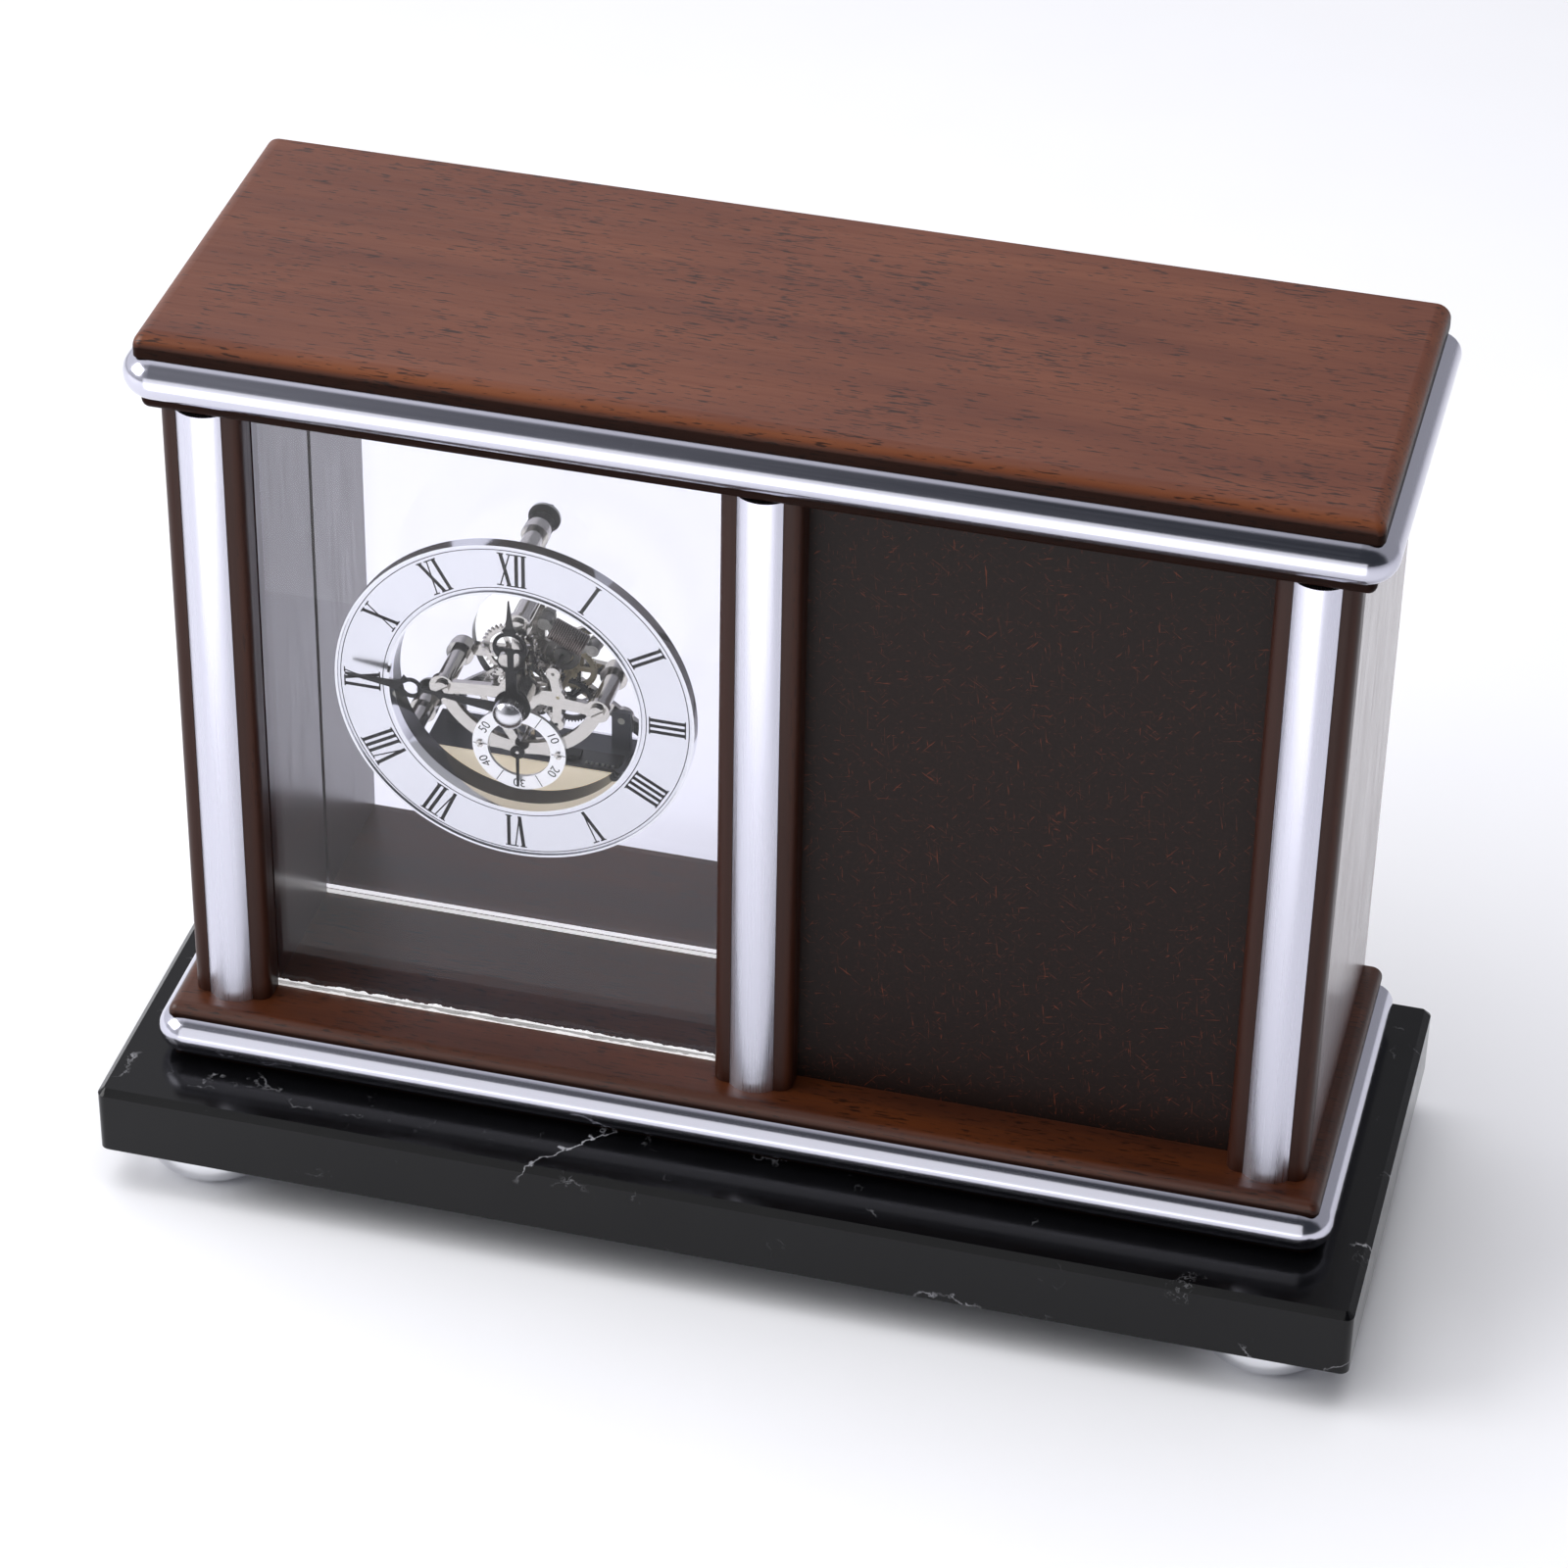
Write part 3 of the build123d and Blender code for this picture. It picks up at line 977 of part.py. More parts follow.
# Minute wheel and pinion on the setting arbor, which runs out through the back plate to the knob
KNOB_FRONT = BACK_PLATE_BACK + KNOB_GAP
KNOB_BACK = KNOB_FRONT + KNOB_LENGTH
PIECES["minute_wheel"] = (
    on_arbor(MINUTE_AT, spoked(MINUTE_TEETH, MINUTE_MODULE, MINUTE_TURN, WHEEL_HUB_RADIUS), MINUTE_LAYER)
    + on_arbor(MINUTE_AT, pinion_teeth(MINUTE_PINION, HOUR_MODULE, MINUTE_PINION_TURN), HOUR_LAYER)
    + rod(MINUTE_AT, FRONT_PLATE_FACE, FRONT_PLATE_BACK + END_SHAKE, PIVOT_RADIUS)
    + rod(MINUTE_AT, FRONT_PLATE_BACK + END_SHAKE, KNOB_BACK - SLOT_DEPTH, ARBOR_RADIUS))


def ridged(radius, ridges, depth):
    """A round outline with small ridges for the fingers."""
    points = []
    for ridge in range(ridges):
        points.append(on_bearing(CENTRE_AT, radius, 360 * ridge / ridges))
        points.append(on_bearing(CENTRE_AT, radius - depth, 360 * (ridge + 0.5) / ridges))
    return outline(*points)


PIECES["setting_knob"] = (
    sheet(Pos(*MINUTE_AT) * ridged(KNOB_RADIUS, KNOB_RIDGES, NUT_RIDGE_DEPTH), KNOB_FRONT, KNOB_BACK)
    - rod(MINUTE_AT, KNOB_FRONT, KNOB_BACK - SLOT_DEPTH, ARBOR_RADIUS))

# Third wheel, fourth wheel, idler and step wheel of the going train
PIECES["third_wheel"] = (
    arbor(THIRD_AT)
    + on_arbor(THIRD_AT, spoked(THIRD_TEETH, MODULE, THIRD_TURN, WHEEL_HUB_RADIUS), THIRD_LAYER)
    + on_arbor(THIRD_AT, pinion_teeth(THIRD_PINION, MODULE, THIRD_PINION_TURN), CENTRE_LAYER))
PIECES["fourth_wheel"] = (
    arbor(FOURTH_AT)
    + rod(FOURTH_AT, SECONDS_HAND_FACE, FRONT_PLATE_FACE, PIVOT_RADIUS)
    + on_arbor(FOURTH_AT, spoked(FOURTH_TEETH, MODULE, FOURTH_TURN, WHEEL_HUB_RADIUS), FOURTH_LAYER)
    + on_arbor(FOURTH_AT, pinion_teeth(FOURTH_PINION, MODULE, FOURTH_PINION_TURN), THIRD_LAYER))
PIECES["idler_wheel"] = (
    arbor(IDLER_AT)
    + on_arbor(IDLER_AT, spoked(IDLER_TEETH, MODULE, IDLER_TURN, WHEEL_HUB_RADIUS), FOURTH_LAYER))
PIECES["step_wheel"] = (
    arbor(STEP_AT)
    + on_arbor(STEP_AT, spoked(STEP_TEETH, MODULE, STEP_TURN, WHEEL_HUB_RADIUS), STEP_LAYER)
    + on_arbor(STEP_AT, pinion_teeth(STEP_PINION, MODULE, STEP_PINION_TURN), FOURTH_LAYER))

# Rotor with its round magnet, turning in the stator
STATOR_MIDDLE = THIRD_LAYER + WHEEL_THICK / 2
STATOR_FRONT = STATOR_MIDDLE - STATOR_THICK / 2
STATOR_BACK = STATOR_MIDDLE + STATOR_THICK / 2
PIECES["rotor"] = (
    arbor(ROTOR_AT)
    + rod(ROTOR_AT, STATOR_MIDDLE - MAGNET_LENGTH / 2, STATOR_MIDDLE + MAGNET_LENGTH / 2, MAGNET_RADIUS)
    + on_arbor(ROTOR_AT, pinion_teeth(ROTOR_PINION, MODULE, ROTOR_TURN), STEP_LAYER))

# Stator plate from the rotor to both ends of the coil's core, held on two posts
STATOR_HOLE = MAGNET_RADIUS + STATOR_GAP
stator_shape = Pos(*ROTOR_AT) * Circle(STATOR_HOLE + STATOR_WALL)
for at in POSTS_AT:
    stator_shape += bar(ROTOR_AT, at, STATOR_ARM) + Pos(*at) * Circle(PIVOT_EYE_RADIUS)
stator = sheet(stator_shape, STATOR_FRONT, STATOR_BACK)
stator -= rod(ROTOR_AT, STATOR_FRONT, STATOR_BACK, STATOR_HOLE)
POST_BORE = POST_SPIGOT_RADIUS + HOLE_CLEARANCE
for at in POSTS_AT:
    stator -= rod(at, STATOR_FRONT, STATOR_BACK, POST_BORE)
PIECES["stator"] = stator
CORE_FRONT = STATOR_FRONT - COIL_CLEARANCE - COIL_RADIUS - CORE_TAB / 2
CORE_BACK = CORE_FRONT + CORE_TAB
PIECES["stator_posts"] = group(
    rod(at, STATOR_BACK, BACK_PLATE_FACE, POST_RADIUS)
    + rod(at, CORE_FRONT, BACK_PLATE_BACK, POST_SPIGOT_RADIUS) for at in POSTS_AT)


# Coil: an iron core that stands on the stator on a boss at each end, wound with fine copper wire
def along_coil(length, radius):
    """A round bar along the coil's axis."""
    place = Pos(DIAL_X + COIL_AT[0], CORE_FRONT + CORE_TAB / 2, DIAL_Z + COIL_AT[1])
    return place * Rot(0, 90 - COIL_TILT, 0) * Cylinder(radius, length)


core_strip = sheet(bar(CORE_END_LEFT, CORE_END_RIGHT, 2 * CORE_RADIUS), CORE_FRONT, CORE_BACK)
core = core_strip
for at in POSTS_AT:
    core += rod(at, CORE_FRONT, STATOR_FRONT, CORE_BOSS_RADIUS)
for at in POSTS_AT:
    core -= rod(at, CORE_FRONT, STATOR_FRONT, POST_BORE)
PIECES["coil_core"] = core
PIECES["coil_winding"] = along_coil(COIL_LENGTH, COIL_RADIUS) - core_strip


# Hands, drawn pointing to twelve and turned to their places
def turned(shape, angle):
    """A hand's outline turned clockwise as seen from the front."""
    return Rot(0, 0, -angle) * shape


def mirrored(*points):
    """A shape of straight sides given by its right half, from the bottom to the top."""
    left = [(-x, y) for x, y in reversed(points)]
    return outline(*(list(points) + left))


RING_RISE = HOUR_HAND_LENGTH * RING_SHARE
SPUR_RISE = HOUR_HAND_LENGTH * SPUR_SHARE
DART_RISE = RING_RISE + RING_RADIUS - RING_LINE
CURL_RISE = RING_RISE - RING_RADIUS * CURL_DROP_SHARE
crescent = Pos(0, RING_RISE) * (Circle(RING_RADIUS) - Circle(RING_RADIUS - RING_LINE))
crescent -= Pos(0, RING_RISE - RING_RADIUS) * Rectangle(CRESCENT_MOUTH, RING_RADIUS)
hour_shape = Circle(HOUR_HAND_DISC) + crescent
hour_shape += mirrored((HOUR_STEM_FOOT, 0), (HOUR_STEM_TOP, SPUR_RISE))
hour_shape += mirrored(
    (SPUR_ROOT, SPUR_RISE - SPUR_DROP), (SPUR_REACH, SPUR_RISE + SPUR_TIP_RISE), (SPUR_ROOT, SPUR_RISE))
hour_shape += mirrored((HOUR_NECK, SPUR_RISE - SPUR_DROP), (HOUR_NECK, CURL_RISE + CURL_RADIUS))
for side in (-1, 1):
    curl_at = Pos(side * CURL_RADIUS, CURL_RISE)
    curl = curl_at * (Circle(CURL_RADIUS) - Circle(CURL_RADIUS - RING_LINE))
    hour_shape += curl - curl_at * Pos(0, -CURL_RADIUS) * Rectangle(3 * CURL_RADIUS, 2 * CURL_RADIUS)
    hour_shape += bar(
        (side * (2 * CURL_RADIUS - RING_LINE / 2), CURL_RISE),
        (side * (RING_RADIUS - RING_LINE), RING_RISE), RING_LINE)
hour_shape += mirrored(
    (DART_FOOT, DART_RISE), (DART_REACH, DART_RISE + DART_REACH_RISE),
    (DART_WAIST, DART_RISE + DART_WAIST_RISE), (DART_NECK, DART_RISE + DART_NECK_RISE),
    (HOUR_TIP, HOUR_HAND_LENGTH))
PIECES["hour_hand"] = sheet(
    turned(hour_shape, HOUR_HAND_ANGLE) - Circle(HOUR_PIPE_RADIUS),
    HOUR_HAND_FACE, HOUR_HAND_FACE + HAND_THICK)

LOOP_RISE = MINUTE_HAND_LENGTH * LOOP_SHARE
CROSS_RISE = MINUTE_HAND_LENGTH * CROSS_SHARE
BLADE_RISE = LOOP_RISE + LOOP_RADIUS + LOOP_PEAK
LOOP_INNER = LOOP_RADIUS - LOOP_LINE
loop = Pos(0, LOOP_RISE) * Circle(LOOP_RADIUS)
loop += mirrored((LOOP_RADIUS - LOOP_LINE / 8, LOOP_RISE + LOOP_SHOULDER), (BLADE_FOOT, BLADE_RISE))
loop -= Pos(0, LOOP_RISE) * Circle(LOOP_INNER)
loop -= mirrored(
    (LOOP_INNER - LOOP_LINE / 8, LOOP_RISE + LOOP_SHOULDER), (MINUTE_TIP, LOOP_RISE + LOOP_RADIUS))
minute_shape = Circle(MINUTE_HUB) + loop
minute_shape += mirrored((MINUTE_STEM_FOOT, 0), (MINUTE_STEM_TOP, CROSS_RISE))
minute_shape += mirrored(
    (CROSS_ROOT, CROSS_RISE - CROSS_DROP), (CROSS_REACH, CROSS_RISE),
    (CROSS_ROOT, CROSS_RISE + CROSS_RISE_ABOVE))
minute_shape += mirrored(
    (MINUTE_STEM_TOP, CROSS_RISE - CROSS_DROP / 2),
    (MINUTE_STEM_TOP, LOOP_RISE - LOOP_RADIUS + LOOP_LINE))
minute_shape += mirrored((BLADE_FOOT, LOOP_RISE + LOOP_RADIUS), (MINUTE_TIP, MINUTE_HAND_LENGTH))
for side in (-1, 1):
    minute_shape += outline(
        (side * LEAF_ROOT, LOOP_RISE + LEAF_ROOT_RISE), (side * LEAF_REACH, LOOP_RISE + LEAF_REACH_RISE),
        (side * LEAF_TOP, LOOP_RISE + LEAF_TOP_RISE))
PIECES["minute_hand"] = sheet(
    turned(minute_shape, MINUTE_HAND_ANGLE) - Circle(CANNON_RADIUS),
    MINUTE_HAND_FACE, MINUTE_HAND_FACE + HAND_THICK)

seconds_shape = Circle(SECONDS_HUB_RADIUS) + mirrored(
    (SECONDS_STEM_FOOT, 0), (SECONDS_TIP, SECONDS_HAND_LENGTH))
PIECES["seconds_hand"] = sheet(
    Pos(*FOURTH_AT) * (turned(seconds_shape, SECONDS_HAND_ANGLE) - Circle(PIVOT_RADIUS)),
    SECONDS_HAND_FACE, SECONDS_HAND_FACE + HAND_THICK)

# Hand nut: a knurled collar with a domed front, on the end of the cannon pinion
knurled = sheet(ridged(NUT_RADIUS, NUT_RIDGES, NUT_RIDGE_DEPTH), NUT_FRONT, MINUTE_HAND_FACE)
DOME_RADIUS = NUT_RADIUS - NUT_RIDGE_DEPTH
DOME_SPHERE = (DOME_RADIUS ** 2 + NUT_DOME ** 2) / (2 * NUT_DOME)
dome = Pos(DIAL_X, NUT_FRONT + DOME_SPHERE - NUT_DOME, DIAL_Z) * Sphere(DOME_SPHERE)
dome &= rod(CENTRE_AT, NUT_FRONT - NUT_DOME, NUT_FRONT, DOME_RADIUS)
PIECES["hand_nut"] = knurled + dome - rod(CENTRE_AT, CANNON_FRONT, MINUTE_HAND_FACE, CANNON_RADIUS)

# Battery holder, a tray open to the back with two ears on the back plate
holder = block(
    DIAL_X - HOLDER_HALF, DIAL_X + HOLDER_HALF, HOLDER_FRONT, HOLDER_BACK,
    DIAL_Z + HOLDER_BOTTOM, DIAL_Z + HOLDER_TOP)
holder -= block(
    DIAL_X - HOLDER_INNER, DIAL_X + HOLDER_INNER, HOLDER_FRONT + HOLDER_WALL, HOLDER_BACK,
    DIAL_Z + HOLDER_BOTTOM + HOLDER_WALL, DIAL_Z + HOLDER_TOP - HOLDER_WALL)
EAR_FRONT = BACK_PLATE_FACE - EAR_THICK
HOLDER_SCREW_BACK = BACK_PLATE_BACK + HOLDER_SCREW_HEAD
for x, z in EARS_AT:
    ear = block(
        DIAL_X + x - EAR_WIDTH / 2, DIAL_X + x + EAR_WIDTH / 2, EAR_FRONT, BACK_PLATE_FACE,
        DIAL_Z + HOLDER_TOP - HOLDER_WALL, DIAL_Z + z + EAR_OVERLAP)
    holder += ear - rod((x, z), EAR_FRONT, BACK_PLATE_FACE, HOLDER_SCREW_RADIUS + HOLE_CLEARANCE)
PIECES["battery_holder"] = holder
PIECES["holder_screws"] = group(
    rod(at, EAR_FRONT, BACK_PLATE_BACK, HOLDER_SCREW_RADIUS)
    + rod(at, BACK_PLATE_BACK, HOLDER_SCREW_BACK, HOLDER_SCREW_HEAD_RADIUS)
    - sheet(
        Pos(*at) * Rectangle(2 * HOLDER_SCREW_HEAD_RADIUS, SLOT_WIDTH),
        HOLDER_SCREW_BACK - SLOT_DEPTH, HOLDER_SCREW_BACK) for at in EARS_AT)


# Dry cell lying across the holder, and a leaf contact at each end
def across(x0, x1, radius):
    """A round bar along X on the cell's axis, measured from the clock's axis."""
    place = Pos(DIAL_X + (x0 + x1) / 2, CELL_MIDDLE_Y, DIAL_Z + CELL_MIDDLE_Z)
    return place * Rot(0, 90, 0) * Cylinder(radius, x1 - x0)


CELL_END = CELL_LENGTH / 2
PIECES["battery"] = across(-CELL_END, CELL_END - CELL_NUB, CELL_RADIUS) + across(
    CELL_END - CELL_NUB, CELL_END, CELL_NUB_RADIUS)
contacts = []
for side in (-1, 1):
    inner = side * (CELL_END + CONTACT_BUMP)
    outer = side * (CELL_END + CONTACT_BUMP + CONTACT_THICK)
    leaf = block(
        DIAL_X + min(inner, outer), DIAL_X + max(inner, outer),
        CELL_MIDDLE_Y - CONTACT_SIZE / 2, CELL_MIDDLE_Y + CONTACT_SIZE / 2,
        DIAL_Z + CELL_MIDDLE_Z - CONTACT_SIZE / 2, DIAL_Z + CELL_MIDDLE_Z + CONTACT_SIZE / 2)
    bump = across(min(side * CELL_END, inner), max(side * CELL_END, inner), CONTACT_BUMP_RADIUS)
    contacts.append(leaf + bump)
PIECES["battery_contacts"] = group(contacts)

# Circuit board lying on the holder
BOARD_FRONT = HOLDER_FRONT + BOARD_FRONT_INSET
PIECES["circuit_board"] = block(
    DIAL_X + BOARD_START, DIAL_X + BOARD_START + BOARD_LENGTH, BOARD_FRONT, BOARD_FRONT + BOARD_DEPTH,
    DIAL_Z + HOLDER_TOP, DIAL_Z + HOLDER_TOP + BOARD_THICK)

os.makedirs("parts", exist_ok=True)
for name, piece in PIECES.items():
    export_step(piece, "parts/" + name + ".step")
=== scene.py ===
from math import atan, cos, pi, radians, sin

import bmesh
import bpy
from mathutils import Matrix, Vector


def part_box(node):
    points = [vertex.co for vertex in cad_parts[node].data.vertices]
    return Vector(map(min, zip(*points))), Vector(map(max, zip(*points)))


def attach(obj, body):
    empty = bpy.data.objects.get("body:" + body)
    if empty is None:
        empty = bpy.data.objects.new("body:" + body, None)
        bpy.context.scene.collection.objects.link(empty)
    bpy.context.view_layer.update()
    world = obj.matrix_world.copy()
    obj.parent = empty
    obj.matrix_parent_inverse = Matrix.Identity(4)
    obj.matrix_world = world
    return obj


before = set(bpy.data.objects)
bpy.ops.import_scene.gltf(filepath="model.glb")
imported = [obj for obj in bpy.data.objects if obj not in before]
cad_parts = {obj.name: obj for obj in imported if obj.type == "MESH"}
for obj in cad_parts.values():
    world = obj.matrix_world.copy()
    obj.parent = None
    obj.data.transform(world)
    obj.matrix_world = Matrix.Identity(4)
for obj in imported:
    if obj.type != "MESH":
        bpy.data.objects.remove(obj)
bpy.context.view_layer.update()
MM = 0.001


# Bun feet: four turned steel buttons under the corners of the slab, polished and chromed.
# Each is held by a threaded pin that runs up into the stone.
def colour(code):
    """A linear colour from an sRGB hex code."""
    shares = [int(code[place:place + 2], 16) / 255 for place in (1, 3, 5)]
    return tuple(s / 12.92 if s <= 0.04045 else ((s + 0.055) / 1.055) ** 2.4 for s in shares) + (1.0,)


def node(tree, kind, inputs=None, **settings):
    """One node with its settings, its input values and its links."""
    made = tree.nodes.new(kind)
    for name, value in settings.items():
        setattr(made, name, value)
    for key, value in (inputs or {}).items():
        if isinstance(value, bpy.types.NodeSocket):
            tree.links.new(value, made.inputs[key])
        else:
            made.inputs[key].default_value = value
    return made


def new_finish(name):
    """An empty finish: its tree, its shader and the object's own coordinates."""
    finish = bpy.data.materials.new(name)
    finish.use_nodes = True
    tree = finish.node_tree
    tree.nodes.clear()
    shader = node(tree, "ShaderNodeBsdfPrincipled")
    node(tree, "ShaderNodeOutputMaterial", {"Surface": shader.outputs["BSDF"]})
    place = node(tree, "ShaderNodeTexCoord").outputs["Object"]
    return finish, tree, shader, place


def dress(finish, *names):
    """Give these carried-over pieces a finish."""
    for name in names:
        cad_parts[name].material_slots[0].material = finish


# Polished chrome plate is a mirror with faint smudges and the last traces of turning.
# A wave texture runs through 20 radians in each unit of length, so its scale is WAVES over the spacing.
CHROME = "#e3e4e8"
WAVES = pi / 10
TURNED_RING = 0.987 * MM


def chrome_plate(name, code, smudge_mm, smoothest, roughest):
    """Chrome plate; the smudges make it rougher in places."""
    finish, tree, shader, place = new_finish(name)
    smudge = node(tree, "ShaderNodeTexNoise", {
        "Vector": place, "Scale": 1 / (smudge_mm * MM), "Detail": 4.0})
    rough = node(tree, "ShaderNodeMapRange", {
        "Value": smudge.outputs["Fac"], "From Min": 0.4, "From Max": 0.7,
        "To Min": smoothest, "To Max": roughest})
    rings = node(tree, "ShaderNodeTexWave", {
        "Vector": place, "Scale": WAVES / TURNED_RING, "Distortion": 1.5, "Detail": 1.0},
        bands_direction="Z")
    bump = node(tree, "ShaderNodeBump", {
        "Height": rings.outputs["Fac"], "Strength": 0.05, "Distance": 0.004 * MM})
    shader.inputs["Base Color"].default_value = colour(code)
    shader.inputs["Metallic"].default_value = 1.0
    tree.links.new(rough.outputs["Result"], shader.inputs["Roughness"])
    tree.links.new(bump.outputs["Normal"], shader.inputs["Normal"])
    return finish, tree, shader, place


dress(chrome_plate("polished_chrome", CHROME, smudge_mm=9, smoothest=0.04, roughest=0.1)[0], "bun_feet")


# Pins, wood screws, nuts and washers: steel with a bright zinc plate, bluish with yellow tints.
# The rings of the threads are drawn as bump.
# A colour mix takes its two colours at these sockets and gives the mixed one at the third.
FIRST, SECOND, MIXED = 6, 7, 2
THREAD_PITCH = 1.578 * MM
finish, tree, shader, place = new_finish("zinc_plated_steel")
tint = node(tree, "ShaderNodeTexNoise", {"Vector": place, "Scale": 1 / (3 * MM), "Detail": 3.0})
tone = node(tree, "ShaderNodeMix", {
    0: tint.outputs["Fac"], FIRST: colour("#aeb4ba"), SECOND: colour("#c3bda9")}, data_type="RGBA")
thread = node(tree, "ShaderNodeTexWave", {
    "Vector": place, "Scale": WAVES / THREAD_PITCH}, bands_direction="Z")
bump = node(tree, "ShaderNodeBump", {
    "Height": thread.outputs["Fac"], "Strength": 0.4, "Distance": 0.1 * MM})
tree.links.new(tone.outputs[MIXED], shader.inputs["Base Color"])
tree.links.new(bump.outputs["Normal"], shader.inputs["Normal"])
shader.inputs["Metallic"].default_value = 1.0
shader.inputs["Roughness"].default_value = 0.32
dress(
    finish, "foot_pins", "base_screws", "case_screws", "cover_screws", "pane_washers", "pane_nuts",
    "holder_screws", "battery_contacts")


# Stone slab: black marble, sawn to 20 mm, chamfered and polished to a soft gloss.
# A few thin broken white veins run across it, with faint grey flecks between them.
# The large and then the fine veins: the size of a cell, the width of a line as a share of it, the size of
# a patch, and how high the noise of the patch is where a vein starts to show.
VEIN_KINDS = ((58, 0.0075, 27, 0.53), (17, 0.012, 12, 0.62))
VEIN_PULL = 17 * MM
FINE_VEINS_SHARE = 0.3
finish, tree, shader, place = new_finish("polished_black_marble")
cloud = node(tree, "ShaderNodeTexNoise", {
    "Vector": place, "Scale": 1 / (11 * MM), "Detail": 7.0, "Roughness": 0.65})
ground = node(tree, "ShaderNodeMix", {
    0: cloud.outputs["Fac"], FIRST: colour("#050506"), SECOND: colour("#0e0e10")}, data_type="RGBA")
warp = node(tree, "ShaderNodeTexNoise", {
    "Vector": place, "Scale": 1 / (9 * MM), "Detail": 6.0, "Roughness": 0.62})
pulled = node(tree, "ShaderNodeVectorMath", {
    0: warp.outputs["Color"], 1: (VEIN_PULL, VEIN_PULL, VEIN_PULL), 2: place}, operation="MULTIPLY_ADD")
veins = None
for cell_mm, width, patch_mm, kept in VEIN_KINDS:
    cells = node(tree, "ShaderNodeTexVoronoi", {
        "Vector": pulled.outputs["Vector"], "Scale": 1 / (cell_mm * MM)}, feature="DISTANCE_TO_EDGE")
    line = node(tree, "ShaderNodeMapRange", {
        "Value": cells.outputs["Distance"], "From Min": 0.0, "From Max": width,
        "To Min": 1.0, "To Max": 0.0})
    patch = node(tree, "ShaderNodeTexNoise", {"Vector": place, "Scale": 1 / (patch_mm * MM), "Detail": 4.0})
    broken = node(tree, "ShaderNodeMapRange", {
        "Value": patch.outputs["Fac"], "From Min": kept, "From Max": kept + 0.13,
        "To Min": 0.0, "To Max": 1.0})
    vein = node(tree, "ShaderNodeMath", {
        0: line.outputs["Result"], 1: broken.outputs["Result"]}, operation="MULTIPLY").outputs["Value"]
    veins = vein if veins is None else node(tree, "ShaderNodeMath", {
        0: vein, 1: FINE_VEINS_SHARE, 2: veins}, operation="MULTIPLY_ADD").outputs["Value"]
stone = node(tree, "ShaderNodeMix", {
    0: veins, FIRST: ground.outputs[MIXED], SECOND: colour("#b9b9be")}, data_type="RGBA")
polish = node(tree, "ShaderNodeMapRange", {
    "Value": cloud.outputs["Fac"], "From Min": 0.3, "From Max": 0.7, "To Min": 0.12, "To Max": 0.2})
tree.links.new(stone.outputs[MIXED], shader.inputs["Base Color"])
tree.links.new(polish.outputs["Result"], shader.inputs["Roughness"])
shader.inputs["IOR"].default_value = 1.34
dress(finish, "stone_slab")


